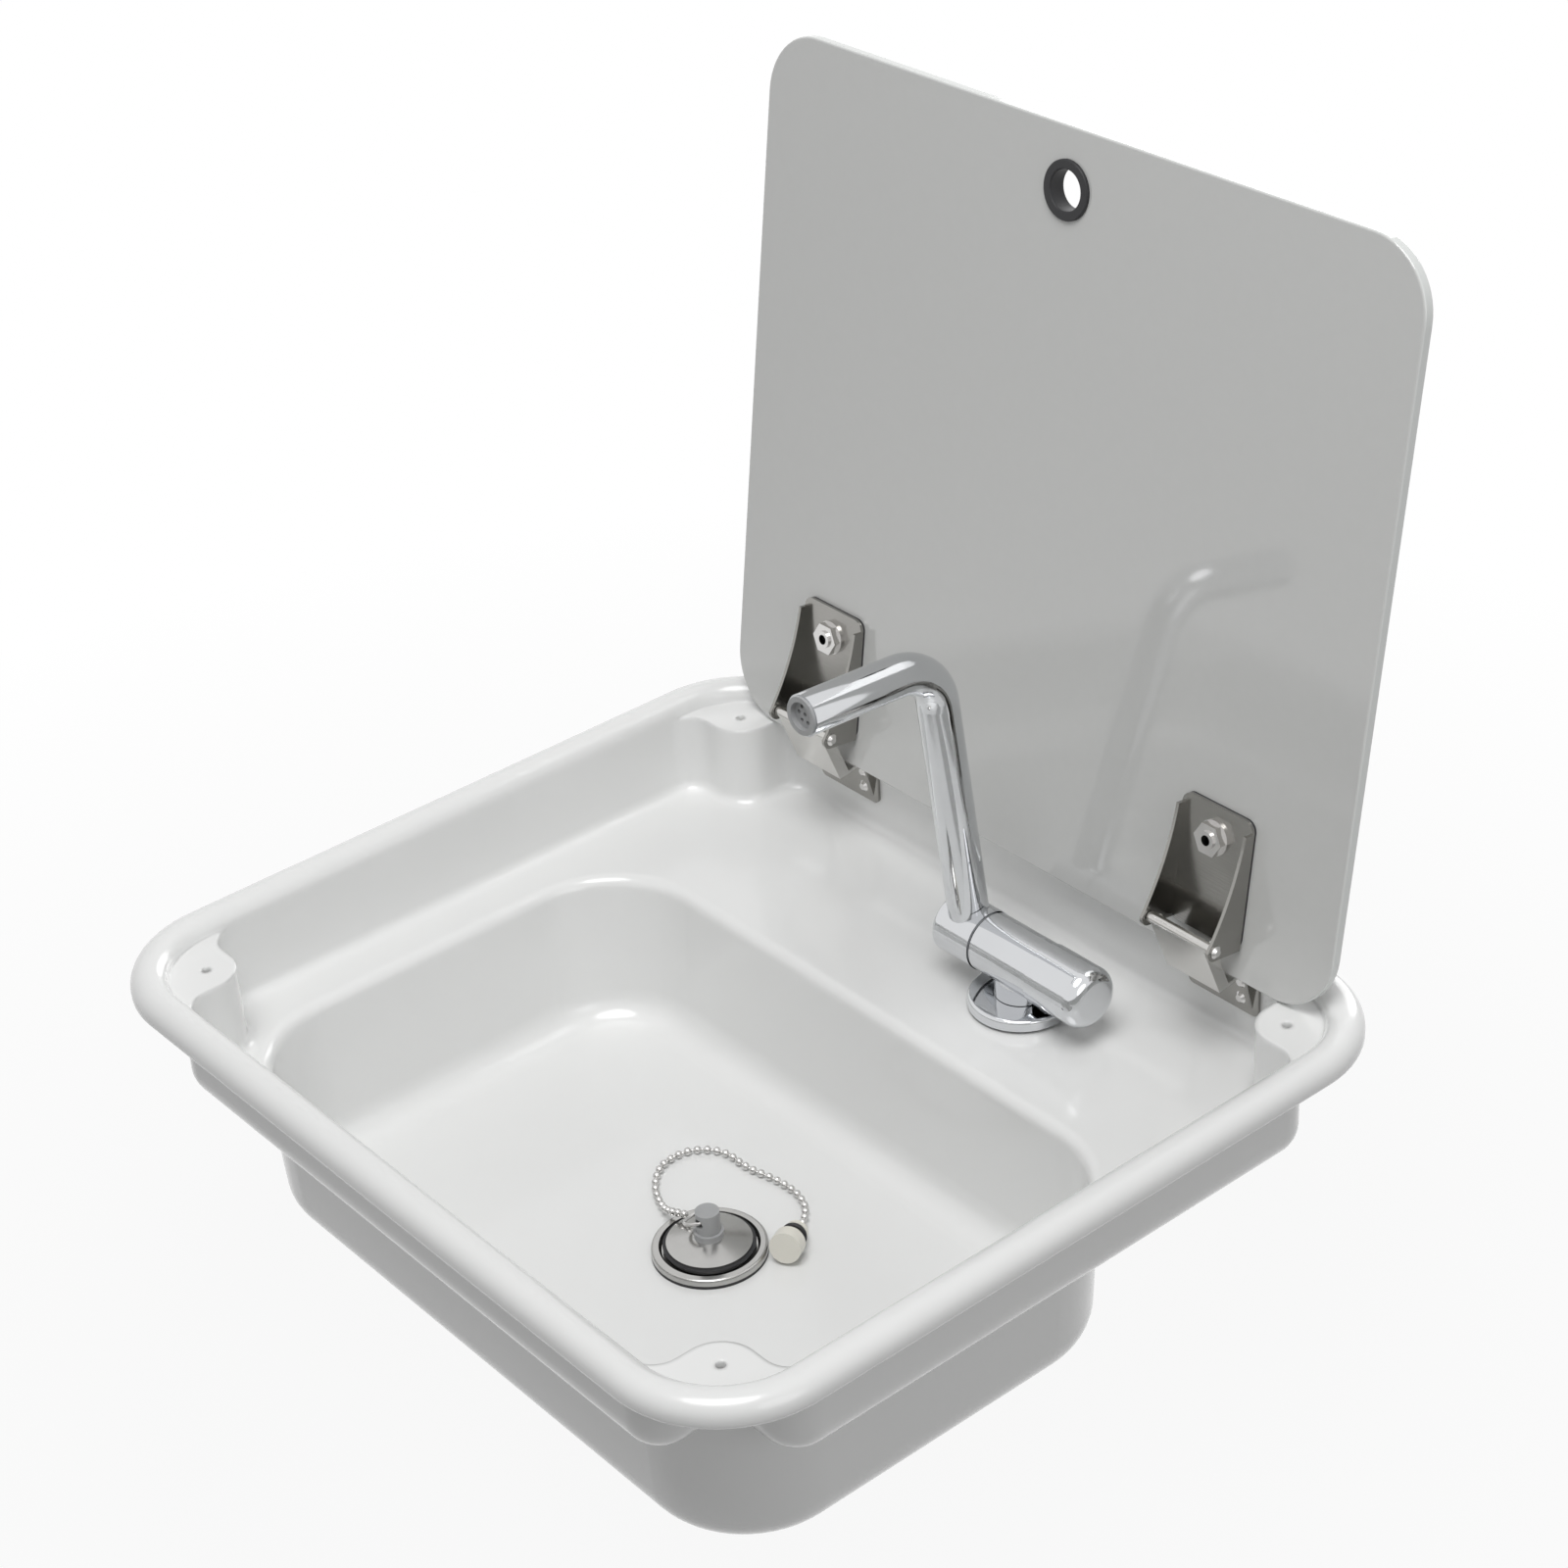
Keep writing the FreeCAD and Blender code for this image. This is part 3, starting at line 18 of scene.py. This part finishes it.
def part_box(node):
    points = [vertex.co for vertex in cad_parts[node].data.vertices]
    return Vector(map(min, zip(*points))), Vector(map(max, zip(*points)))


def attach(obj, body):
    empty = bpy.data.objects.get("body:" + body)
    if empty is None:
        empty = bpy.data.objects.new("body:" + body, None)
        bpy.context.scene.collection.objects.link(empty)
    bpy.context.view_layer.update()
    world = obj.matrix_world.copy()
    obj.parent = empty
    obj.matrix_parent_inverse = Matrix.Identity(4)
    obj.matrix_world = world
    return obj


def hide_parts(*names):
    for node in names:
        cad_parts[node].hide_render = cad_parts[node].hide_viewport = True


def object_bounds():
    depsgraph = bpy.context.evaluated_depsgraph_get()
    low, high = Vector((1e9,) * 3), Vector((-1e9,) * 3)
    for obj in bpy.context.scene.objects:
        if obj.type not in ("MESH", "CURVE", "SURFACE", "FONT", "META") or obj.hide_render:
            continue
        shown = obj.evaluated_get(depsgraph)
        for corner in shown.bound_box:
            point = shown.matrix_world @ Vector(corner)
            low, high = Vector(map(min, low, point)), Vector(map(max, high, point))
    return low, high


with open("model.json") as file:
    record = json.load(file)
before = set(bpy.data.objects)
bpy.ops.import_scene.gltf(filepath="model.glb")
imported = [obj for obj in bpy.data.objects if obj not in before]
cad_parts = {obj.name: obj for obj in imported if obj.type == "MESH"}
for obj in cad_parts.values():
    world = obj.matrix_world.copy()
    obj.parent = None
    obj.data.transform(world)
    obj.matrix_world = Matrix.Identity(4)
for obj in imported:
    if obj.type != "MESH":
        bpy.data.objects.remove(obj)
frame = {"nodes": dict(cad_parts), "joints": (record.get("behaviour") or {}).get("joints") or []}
cad_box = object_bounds()
nodes = frame["nodes"]

# %% [markdown]
# The camera stands where the photographer stood: to the right and in front, looking down into the
# bowl. A camera can be aimed with a constraint, but three axes that were measured from the picture
# leave nothing to chance, so its matrix is written out. Blender's camera looks along its own -Z.

# %% Camera
EYE = Vector((0.92305, -0.69384, 0.81434))
TO_RIGHT = Vector((0.64438724, 0.7627642, -0.05436785))
TO_BACK = Vector((0.66899416, -0.52787353, 0.52325553))
SENSOR_WIDTH = 36.0
FOCAL_LENGTH = 78.14


def link_to_scene(name, data):
    """A new object for some data, in the scene's own collection."""
    made = bpy.data.objects.new(name, data)
    bpy.context.scene.collection.objects.link(made)
    return made


camera_data = bpy.data.cameras.new("photo_camera")
camera_data.sensor_width = SENSOR_WIDTH
camera_data.lens = FOCAL_LENGTH
camera = link_to_scene("photo_camera", camera_data)
turn = Matrix((TO_RIGHT, TO_BACK.cross(TO_RIGHT), TO_BACK)).transposed()
camera.matrix_world = Matrix.Translation(EYE) @ turn.to_4x4()
bpy.context.scene.camera = camera
print("camera looks down", round(math.degrees(math.asin(TO_BACK.z)), 1), "degrees")

# %% [markdown]
# The plug hangs on a ball chain. In the CAD model it is one plain tube. Its line could be drawn
# with Bezier handles, but a NURBS spline needs only the points of the route: it stays smooth and
# cuts the corners, as a loose chain does. The points are in millimetres from the drain's middle.

# %% Route of the chain
MM = 0.001
DRAIN = Vector((11.0, -30.0, -107.5)) * MM
ON_FLOOR = 2.05
ROUTE = [
    (-13.0, 0.0, 12.0), (-21.0, -1.0, 9.6), (-29.0, 0.0, 5.2), (-38.0, 3.0, ON_FLOOR),
    (-50.0, 9.0, ON_FLOOR), (-60.0, 21.0, ON_FLOOR), (-59.0, 37.0, ON_FLOOR), (-47.0, 47.0, ON_FLOOR),
    (-31.0, 46.0, ON_FLOOR), (-17.0, 50.0, ON_FLOOR), (-2.0, 51.0, ON_FLOOR), (12.0, 45.0, ON_FLOOR),
    (20.0, 32.0, 4.2),
]
SPLINE_STEPS = 24

line_data = bpy.data.curves.new("chain_line", "CURVE")
line_data.dimensions = "3D"
spline = line_data.splines.new("NURBS")
spline.points.add(len(ROUTE) - 1)
for point, place in zip(spline.points, ROUTE):
    point.co = (*(DRAIN + Vector(place) * MM), 1.0)
spline.order_u = 3
spline.use_endpoint_u = True
spline.resolution_u = SPLINE_STEPS
line = link_to_scene("chain_line", line_data)
line_mesh = bpy.data.meshes.new_from_object(line)
path = [vertex.co.copy() for vertex in line_mesh.vertices]
bpy.data.objects.remove(line)
path_length = sum((ahead - here).length for here, ahead in zip(path, path[1:]))
print("chain line", len(path), "points,", round(path_length / MM, 1), "mm")

# %% [markdown]
# A ball chain is hollow steel balls strung on short dumb-bell wires. An Array modifier with a Curve
# modifier could lay them out, but it would bend each ball. So each ball and each wire is made at
# its own place, at an even pitch, and all of them are one mesh. It stands for the CAD tube.

# %% Balls and wires of the chain
BALL = 3.5 * MM
PITCH = 4.4 * MM
WIRE_RADIUS = 0.55 * MM
WIRE_SINK_SHARE = 0.1
BALL_SIDES, BALL_RINGS, WIRE_SIDES = 20, 12, 10


def walk(points, distance):
    """The place and the heading at a distance along a line of points."""
    for here, ahead in zip(points, points[1:]):
        step = (ahead - here).length
        if distance <= step:
            return here.lerp(ahead, distance / step), (ahead - here).normalized()
        distance -= step
    return points[-1].copy(), (points[-1] - points[-2]).normalized()


def aim(place, heading):
    """A matrix at a place whose Z axis follows the heading."""
    return Matrix.Translation(place) @ heading.to_track_quat("Z", "Y").to_matrix().to_4x4()


def add_mesh(name, builder, body, smooth):
    """A piece from a bmesh, which rides on a body."""
    data = bpy.data.meshes.new(name)
    bmesh.ops.recalc_face_normals(builder, faces=builder.faces)
    builder.to_mesh(data)
    builder.free()
    for face in data.polygons:
        face.use_smooth = smooth
    made = link_to_scene(name, data)
    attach(made, body)
    return made


balls = bmesh.new()
gaps = int((path_length - BALL) / PITCH)
start = (path_length - gaps * PITCH) / 2
wire_length = PITCH - BALL + 2 * WIRE_SINK_SHARE * BALL
for index in range(gaps + 1):
    spot = aim(*walk(path, start + index * PITCH))
    bmesh.ops.create_uvsphere(balls, u_segments=BALL_SIDES, v_segments=BALL_RINGS,
                              radius=BALL / 2, matrix=spot)
for index in range(gaps):
    spot = aim(*walk(path, start + (index + 0.5) * PITCH))
    bmesh.ops.create_cone(balls, cap_ends=True, segments=WIRE_SIDES, radius1=WIRE_RADIUS,
                          radius2=WIRE_RADIUS, depth=wire_length, matrix=spot)
chain = add_mesh("ball_chain", balls, "plug", smooth=True)
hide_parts("plug_chain")
print("chain of", gaps + 1, "balls")

# %% [markdown]
# The tap's shank has a pipe thread that the CAD model leaves plain. A stack of rings would read as
# a thread from afar, but a real one climbs, so a ridge is swept along a helix: the sections of one
# long strip, each turned a little further and a little higher than the one before. The ridge fades
# in and out over half a turn, as a cut thread does.

# %% Thread on the tap's shank
SHANK_RADIUS = 15.0 * MM
THREAD_DEPTH = 0.9 * MM
THREAD_PITCH = 2.3 * MM
SECTIONS_PER_TURN = 40
FADE_TURNS = 0.5
ROOT_SHARE = -0.2
CREST_SHARES = (0.4, 0.55)
FOOT_SHARE = 0.95


def thread(name, body, foot, length):
    """A ridge that climbs straight up a shaft: four points of its section at each step."""
    builder = bmesh.new()
    total = int((length / THREAD_PITCH - 1) * SECTIONS_PER_TURN)
    root = SHANK_RADIUS + ROOT_SHARE * THREAD_DEPTH
    upright = aim(foot, Vector((0.0, 0.0, 1.0)))
    up = Vector((0.0, 0.0, THREAD_PITCH))
    sections = []
    for step in range(total + 1):
        turns = step / SECTIONS_PER_TURN
        turns_left = (total - step) / SECTIONS_PER_TURN
        crest = SHANK_RADIUS + THREAD_DEPTH * min(1.0, turns / FADE_TURNS, turns_left / FADE_TURNS)
        outline = [(root, 0.0), (crest, CREST_SHARES[0]), (crest, CREST_SHARES[1]), (root, FOOT_SHARE)]
        angle = 2 * math.pi * turns
        across = Vector((math.cos(angle), math.sin(angle), 0.0))
        sections.append([builder.verts.new(upright @ (across * radius + up * (turns + share)))
                         for radius, share in outline])
    for here, ahead in zip(sections, sections[1:]):
        for side in range(4):
            after = (side + 1) % 4
            builder.faces.new((here[side], here[after], ahead[after], ahead[side]))
    builder.faces.new(sections[0])
    builder.faces.new(reversed(sections[-1]))
    return add_mesh(name, builder, body, smooth=False)


swivel = next(joint for joint in frame["joints"] if joint["name"] == "tap_swivel")
shank_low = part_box("tap_base")[0].z
nut_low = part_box("tap_locknut")[0].z
shank_foot = Vector((*swivel["pos_m"][:2], shank_low))
thread("shank_thread", "basin", shank_foot, nut_low - shank_low)
print("thread from", round(shank_low, 4), "to", round(nut_low, 4))

# %% [markdown]
# Every finish needs a little unevenness. It could be painted on, but noise fits any shape. A cloudy
# mask, from broad noise with fine noise beside it, is used by all of the finishes, so it is a node
# group that is built once. Groups keep a scene small and let one fix reach every material.

# %% Cloudy mask, a shared group
FINE_GRAIN = 900.0


def node_group(name, inputs, outputs):
    """A shader group with float inputs, given as name and default, and float outputs."""
    tree = bpy.data.node_groups.new(name, "ShaderNodeTree")
    for label, default in inputs:
        socket = tree.interface.new_socket(label, in_out="INPUT", socket_type="NodeSocketFloat")
        socket.default_value = default
    for label in outputs:
        tree.interface.new_socket(label, in_out="OUTPUT", socket_type="NodeSocketFloat")
    return tree, tree.nodes.new("NodeGroupInput"), tree.nodes.new("NodeGroupOutput")


def mapped(tree, value, low, high, start=0.0, end=1.0):
    """A value that runs from start to end, stretched to run from low to high."""
    stretch = tree.nodes.new("ShaderNodeMapRange")
    tree.links.new(value, stretch.inputs["Value"])
    limits = {"From Min": start, "From Max": end, "To Min": low, "To Max": high}
    for socket, limit in limits.items():
        if isinstance(limit, float):
            stretch.inputs[socket].default_value = limit
        else:
            tree.links.new(limit, stretch.inputs[socket])
    return stretch.outputs["Result"]


def noise(tree, place, detail):
    """A noise texture that reads a place."""
    made = tree.nodes.new("ShaderNodeTexNoise")
    made.inputs["Detail"].default_value = detail
    tree.links.new(place, made.inputs["Vector"])
    return made


cloud, cloud_in, cloud_out = node_group("cloudy_mask", [("Fineness", 30.0)], ["Value", "Fine"])
cloud_place = cloud.nodes.new("ShaderNodeTexCoord").outputs["Object"]
broad = noise(cloud, cloud_place, detail=4.0)
fine = noise(cloud, cloud_place, detail=2.0)
fine.inputs["Scale"].default_value = FINE_GRAIN
cloud.links.new(cloud_in.outputs["Fineness"], broad.inputs["Scale"])
cloud.links.new(broad.outputs["Fac"], cloud_out.inputs["Value"])
cloud.links.new(fine.outputs["Fac"], cloud_out.inputs["Fine"])
print("group", cloud.name, "with", len(cloud.nodes), "nodes")

# %% [markdown]
# Brushed sheet steel has fine parallel scratches. An image of scratches would need a file and UVs.
# Noise that is stretched a hundred times along one axis makes them anywhere. As a height, it bends
# the highlights across the grain, which is what the eye reads as brushed.

# %% Brushed grain, a shared group
ALONG, ACROSS = 12.0, 1600.0

grain, grain_in, grain_out = node_group(
    "brushed_grain", [("Along X", ALONG), ("Along Y", ACROSS), ("Along Z", ACROSS)], ["Value"])
stretch_by = grain.nodes.new("ShaderNodeCombineXYZ")
for axis in "XYZ":
    grain.links.new(grain_in.outputs["Along " + axis], stretch_by.inputs[axis])
scaled = grain.nodes.new("ShaderNodeVectorMath")
scaled.operation = "MULTIPLY"
grain.links.new(grain.nodes.new("ShaderNodeTexCoord").outputs["Object"], scaled.inputs[0])
grain.links.new(stretch_by.outputs["Vector"], scaled.inputs[1])
scratches = noise(grain, scaled.outputs["Vector"], detail=3.0)
scratches.inputs["Scale"].default_value = 1.0
grain.links.new(scratches.outputs["Fac"], grain_out.inputs["Value"])
print("group", grain.name, "with", len(grain.nodes), "nodes")

# %% [markdown]
# The materials below share one way of starting: a Principled shader, a colour that drifts between
# two close tints, and a roughness that drifts with the same mask. They could be wired one by one
# in the shader editor, but a function keeps them alike. Values that are the same all over a piece
# are set on the shader's own sockets.

# %% A finish and how pieces get it
Finish = namedtuple("Finish", "material tree shader mask")


def mixed(tree, mask, first, second):
    """A colour between two others, each a tint or a socket."""
    blend = tree.nodes.new("ShaderNodeMix")
    blend.data_type = "RGBA"
    for socket, colour in (("A", first), ("B", second)):
        if isinstance(colour, tuple):
            blend.inputs[socket].default_value = (*colour, 1.0)
        else:
            tree.links.new(colour, blend.inputs[socket])
    tree.links.new(mask, blend.inputs["Factor"])
    return blend.outputs["Result"]


def group_node(tree, group):
    """A node that uses a shared group."""
    placed = tree.nodes.new("ShaderNodeGroup")
    placed.node_tree = group
    return placed


def finish(name, first, second, rough, fineness, **plain):
    """A material whose colour and roughness drift between two values; plain sockets are constants."""
    made = bpy.data.materials.new(name)
    made.use_nodes = True
    tree = made.node_tree
    shader = tree.nodes["Principled BSDF"]
    mask = group_node(tree, cloud)
    mask.inputs["Fineness"].default_value = fineness
    tree.links.new(mixed(tree, mask.outputs["Value"], first, second), shader.inputs["Base Color"])
    tree.links.new(mapped(tree, mask.outputs["Value"], *rough), shader.inputs["Roughness"])
    for socket, value in plain.items():
        shader.inputs[socket.replace("_", " ")].default_value = value
    return Finish(made, tree, shader, mask)


def bump(look, height, strength, distance):
    """A finish's surface, raised by a height."""
    lift = look.tree.nodes.new("ShaderNodeBump")
    lift.inputs["Strength"].default_value = strength
    lift.inputs["Distance"].default_value = distance
    look.tree.links.new(height, lift.inputs["Height"])
    look.tree.links.new(lift.outputs["Normal"], look.shader.inputs["Normal"])


def paint(look, *names):
    """Gives a finish to pieces, CAD solids and made ones alike."""
    for name in names:
        piece = nodes[name] if name in nodes else bpy.data.objects[name]
        piece.data.materials.clear()
        piece.data.materials.append(look.material)
    print(look.material.name, "on", len(names), "pieces")


def both(*stems):
    """The names of the left and the right piece of each stem."""
    return [stem + "_" + side for stem in stems for side in ("left", "right")]


print("finishes start from", cloud.name, "and", grain.name)

# %% [markdown]
# The basin is a thick white plastic moulding with a glossy skin. A coat over a slightly rougher
# base gives the sharp highlight on a soft white. A sheet that is drawn hot into a mould never has
# a crisp corner, and Blender's Bevel node softens the shading of every edge without touching the
# mesh. The roughness stays below 0.27: past that, the denoiser stops treating a gloss as a mirror,
# and a roughness that drifts across the mark shows as patches.

# %% Moulded white plastic
MOULD_ROUND = 0.003
BEVEL_SAMPLES = 8

white = finish("moulded_white", (0.806, 0.810, 0.804), (0.818, 0.821, 0.815),
               rough=(0.17, 0.25), fineness=40.0,
               Coat_Weight=0.5, Coat_Roughness=0.08, Specular_IOR_Level=0.45)
soft_edges = white.tree.nodes.new("ShaderNodeBevel")
soft_edges.samples = BEVEL_SAMPLES
soft_edges.inputs["Radius"].default_value = MOULD_ROUND
for socket in ("Normal", "Coat Normal"):
    white.tree.links.new(soft_edges.outputs["Normal"], white.shader.inputs[socket])
paint(white, "sink_basin")

# %% [markdown]
# The lid is toughened glass with a pale grey coating behind it, so it looks solid. Its ground edge
# is lighter. A second material slot would need faces picked by hand. Here the edge is found by the
# direction that its faces look: the two large faces look along the glass's own normal, and the rim
# looks away from it.

# %% Pale grey glass
LEAN = math.radians(8.15)
EDGE_TINT = (0.74, 0.76, 0.745)
FACE_COSINE, EDGE_COSINE = 0.9, 0.4

glass = finish("grey_glass", (0.590, 0.595, 0.584), (0.606, 0.610, 0.600),
               rough=(0.07, 0.12), fineness=220.0,
               Coat_Weight=0.6, Coat_Roughness=0.05, IOR=1.5)
across_glass = glass.tree.nodes.new("ShaderNodeVectorMath")
across_glass.operation = "DOT_PRODUCT"
across_glass.inputs[1].default_value = (0.0, -math.cos(LEAN), math.sin(LEAN))
glass_place = glass.tree.nodes.new("ShaderNodeTexCoord")
glass.tree.links.new(glass_place.outputs["Normal"], across_glass.inputs[0])
flatness = glass.tree.nodes.new("ShaderNodeMath")
flatness.operation = "ABSOLUTE"
glass.tree.links.new(across_glass.outputs["Value"], flatness.inputs[0])
edge = mapped(glass.tree, flatness.outputs["Value"], 0.0, 1.0, start=FACE_COSINE, end=EDGE_COSINE)
face_colour = glass.shader.inputs["Base Color"].links[0].from_socket
glass.tree.links.new(mixed(glass.tree, edge, face_colour, EDGE_TINT), glass.shader.inputs["Base Color"])
paint(glass, "lid_glass")

# %% [markdown]
# The hinges are folded from stainless sheet. The grain group gives the scratches of the rolled
# sheet. The brackets and the base plates stand close against the glass and the wall, in shade, so
# they get the same steel with a darker tint, which is painted shade. The links get the lighter tint.

# %% Brushed stainless sheet
def brushed(name, first, second):
    """A steel finish with scratches."""
    look = finish(name, first, second, rough=(0.14, 0.24), fineness=60.0, Metallic=1.0)
    bump(look, group_node(look.tree, grain).outputs["Value"], strength=0.12, distance=0.0002)
    return look


paint(brushed("brushed_stainless", (0.56, 0.55, 0.53), (0.64, 0.63, 0.61)), *both("hinge_link"))
# The darker tint here is painted shade: the brackets and base plates are the same steel as the links.
paint(brushed("stainless_painted_shade", (0.30, 0.294, 0.278), (0.36, 0.353, 0.335)),
      *both("lid_bracket", "hinge_base"))

# %% [markdown]
# The small turned pieces get a brighter, smoother steel without the scratches. The drain and the
# plug are spun from sheet, which leaves them a little darker and duller. The rings of the tool
# could be drawn too, but on pieces this small they are finer than a pixel, so a roughness that
# drifts stands for them.

# %% Turned and spun steel
bright = finish("bright_steel", (0.62, 0.61, 0.60), (0.70, 0.69, 0.68),
                rough=(0.12, 0.22), fineness=120.0, Metallic=1.0)
paint(bright, *both("lid_bolt", "lid_nut", "hinge_rivets", "hinge_base_pin", "hinge_upper_pin"),
      "waste_screw", "plug_ring", "ball_chain")
spun = finish("spun_steel", (0.45, 0.446, 0.435), (0.53, 0.525, 0.512),
              rough=(0.14, 0.26), fineness=90.0, Metallic=1.0)
paint(spun, "waste_strainer", "plug_disc")

# %% [markdown]
# Chrome is nearly a mirror, so what it shows is the room. A pure white tint would melt into the
# white round it, so the tint is the metal's own, about two thirds. The roughness drifts a little,
# as water marks do.

# %% Chrome of the tap
chrome = finish("tap_chrome", (0.64, 0.65, 0.665), (0.69, 0.70, 0.715),
                rough=(0.04, 0.09), fineness=45.0, Metallic=1.0)
paint(chrome, "tap_base", "tap_body", "tap_knob", "spout_collar", "spout_pipe", "shank_thread")

# %% [markdown]
# The soft pieces are black: the grommet of the finger hole and the seals. Moulded rubber is dull
# because its skin is finely pitted. Pits in the mesh would take far too many faces, so fine noise
# as bump gives the same shading.

# %% Black rubber
SKIN = 0.0003

rubber = finish("black_rubber", (0.018, 0.018, 0.02), (0.03, 0.03, 0.032),
                rough=(0.45, 0.6), fineness=80.0, Specular_IOR_Level=0.4)
bump(rubber, rubber.mask.outputs["Fine"], strength=0.15, distance=SKIN)
paint(rubber, "finger_hole_grommet", *both("bracket_gasket"), "tap_base_seal", "waste_flange_seal",
      "waste_body_seal", "plug_seal", "stay_seal")

# %% [markdown]
# The waste is natural polypropylene, which lets some light in. Transmission would make it clear, so
# a little subsurface scattering gives the milky depth. The plug's knob, the stay and the tap's
# insert are plain moulded plastics with the same fine skin. Inside the tap, the valve is machined
# brass.

# %% Plastics and brass
milky = finish("milky_plastic", (0.78, 0.785, 0.775), (0.82, 0.825, 0.815),
               rough=(0.32, 0.45), fineness=40.0, Subsurface_Weight=0.25)
milky.shader.inputs["Subsurface Radius"].default_value = (0.004, 0.004, 0.0035)
bump(milky, milky.mask.outputs["Fine"], strength=0.06, distance=SKIN)
paint(milky, "waste_body", "tap_locknut", "tap_clamp_washer")
grey = finish("dull_grey_plastic", (0.34, 0.345, 0.35), (0.40, 0.405, 0.41),
              rough=(0.3, 0.42), fineness=80.0)
bump(grey, grey.mask.outputs["Fine"], strength=0.1, distance=SKIN)
paint(grey, "plug_knob", "spout_aerator", "spout_washer")
cream = finish("stay_cream_plastic", (0.74, 0.72, 0.645), (0.78, 0.76, 0.69),
               rough=(0.28, 0.4), fineness=70.0)
bump(cream, cream.mask.outputs["Fine"], strength=0.06, distance=SKIN)
paint(cream, "chain_stay")
brass = finish("machined_brass", (0.62, 0.45, 0.18), (0.70, 0.53, 0.24),
               rough=(0.2, 0.34), fineness=120.0, Metallic=1.0)
paint(brass, "valve_cartridge")

# %% [markdown]
# The studio is a floor under a pale sky. More lamps would make the floor white, but they would also
# bleach the sink. So the floor glows only for the camera, and for mirrors and glass, through the
# Light Path node, while the light that falls on the sink stays plain. Near the sink a little of the
# floor's own shading stays in view, which keeps the shadow.

# %% Floor
FLOOR_GAP = 0.002
FLOOR_HALF = 6.0
FLOOR_TINT = (0.2, 0.2, 0.2, 1.0)
FLOOR_ROUGH = 0.9
NEAR, FAR = 0.3, 0.8
GLOW_NEAR, GLOW_FAR = 0.93, 1.0


def white_to_the_eye(tree):
    """1 for rays from the camera, from mirrors and through glass, 0 for the light on things."""
    rays = tree.nodes.new("ShaderNodeLightPath")
    total = rays.outputs["Is Camera Ray"]
    for name in ("Is Glossy Ray", "Is Transmission Ray"):
        either = tree.nodes.new("ShaderNodeMath")
        either.operation = "MAXIMUM"
        tree.links.new(total, either.inputs[0])
        tree.links.new(rays.outputs[name], either.inputs[1])
        total = either.outputs["Value"]
    return total


floor_level = cad_box[0].z - FLOOR_GAP
floor_data = bpy.data.meshes.new("floor")
corners = [(x * FLOOR_HALF, y * FLOOR_HALF, floor_level) for x, y in ((-1, -1), (1, -1), (1, 1), (-1, 1))]
floor_data.from_pydata(corners, [], [(0, 1, 2, 3)])
floor = link_to_scene("floor", floor_data)
floor_paint = bpy.data.materials.new("pale_floor")
floor_paint.use_nodes = True
floor_tree = floor_paint.node_tree
floor_shader = floor_tree.nodes["Principled BSDF"]
floor_shader.inputs["Base Color"].default_value = FLOOR_TINT
floor_shader.inputs["Roughness"].default_value = FLOOR_ROUGH
glow = floor_tree.nodes.new("ShaderNodeEmission")
floor_mix = floor_tree.nodes.new("ShaderNodeMixShader")
floor_place = floor_tree.nodes.new("ShaderNodeTexCoord")
away = floor_tree.nodes.new("ShaderNodeVectorMath")
away.operation = "LENGTH"
floor_tree.links.new(floor_place.outputs["Object"], away.inputs[0])
whiter = mapped(floor_tree, away.outputs["Value"], GLOW_NEAR, GLOW_FAR, start=NEAR, end=FAR)
seen = mapped(floor_tree, white_to_the_eye(floor_tree), 0.0, whiter)
floor_tree.links.new(seen, floor_mix.inputs["Fac"])
floor_tree.links.new(floor_shader.outputs["BSDF"], floor_mix.inputs[1])
floor_tree.links.new(glow.outputs["Emission"], floor_mix.inputs[2])
floor_tree.links.new(floor_mix.outputs["Shader"], floor_tree.nodes["Material Output"].inputs["Surface"])
floor_data.materials.append(floor_paint)
print("floor at", round(floor_level, 4))

# %% [markdown]
# The sky is white to the eye in the same way, and gives a weak even light. A picture of a room
# could light the sink too, but lamps can each be set by hand. The main one hangs high in front, so
# it reaches into the bowl and onto the lid, and the rim shades the outside of the bowl. A weak one
# stands at the right, and one behind lights the back of the lid. Large disks keep their shadows
# soft. The Standard view shows colours as they are written.

# %% Sky and lamps
SKY_LIGHT = 0.30
MIDDLE = (0.0, 0.0, 0.0)

world = bpy.data.worlds.new("studio")
bpy.context.scene.world = world
world.use_nodes = True
sky = world.node_tree.nodes["Background"]
sky.inputs["Color"].default_value = (1.0, 1.0, 1.0, 1.0)
sky_strength = mapped(world.node_tree, white_to_the_eye(world.node_tree), SKY_LIGHT, 1.0)
world.node_tree.links.new(sky_strength, sky.inputs["Strength"])


def lamp(name, place, target, power, size):
    """A disk lamp at a place that faces a target."""
    data = bpy.data.lights.new(name, "AREA")
    data.shape = "DISK"
    data.size = size
    data.energy = power
    made = link_to_scene(name, data)
    heading = (Vector(target) - Vector(place)).to_track_quat("-Z", "Y")
    made.matrix_world = Matrix.Translation(place) @ heading.to_matrix().to_4x4()


lamp("key_lamp", place=(0.45, -0.55, 2.0), target=MIDDLE, power=28.0, size=1.3)
lamp("fill_lamp", place=(1.6, -0.1, 0.6), target=MIDDLE, power=3.5, size=1.0)
lamp("back_lamp", place=(-0.7, 1.7, 0.5), target=(0.0, 0.15, 0.05), power=11.0, size=1.2)
bpy.context.scene.view_settings.view_transform = "Standard"
print("lamps", [item.name for item in bpy.data.lights])

# %% [markdown]
# Last, the size of the CAD model is printed. The chain and the thread lie well inside the sink's
# overall size.

# %% Size of the CAD model
print("CAD box", [round(value, 4) for corner in cad_box for value in corner])
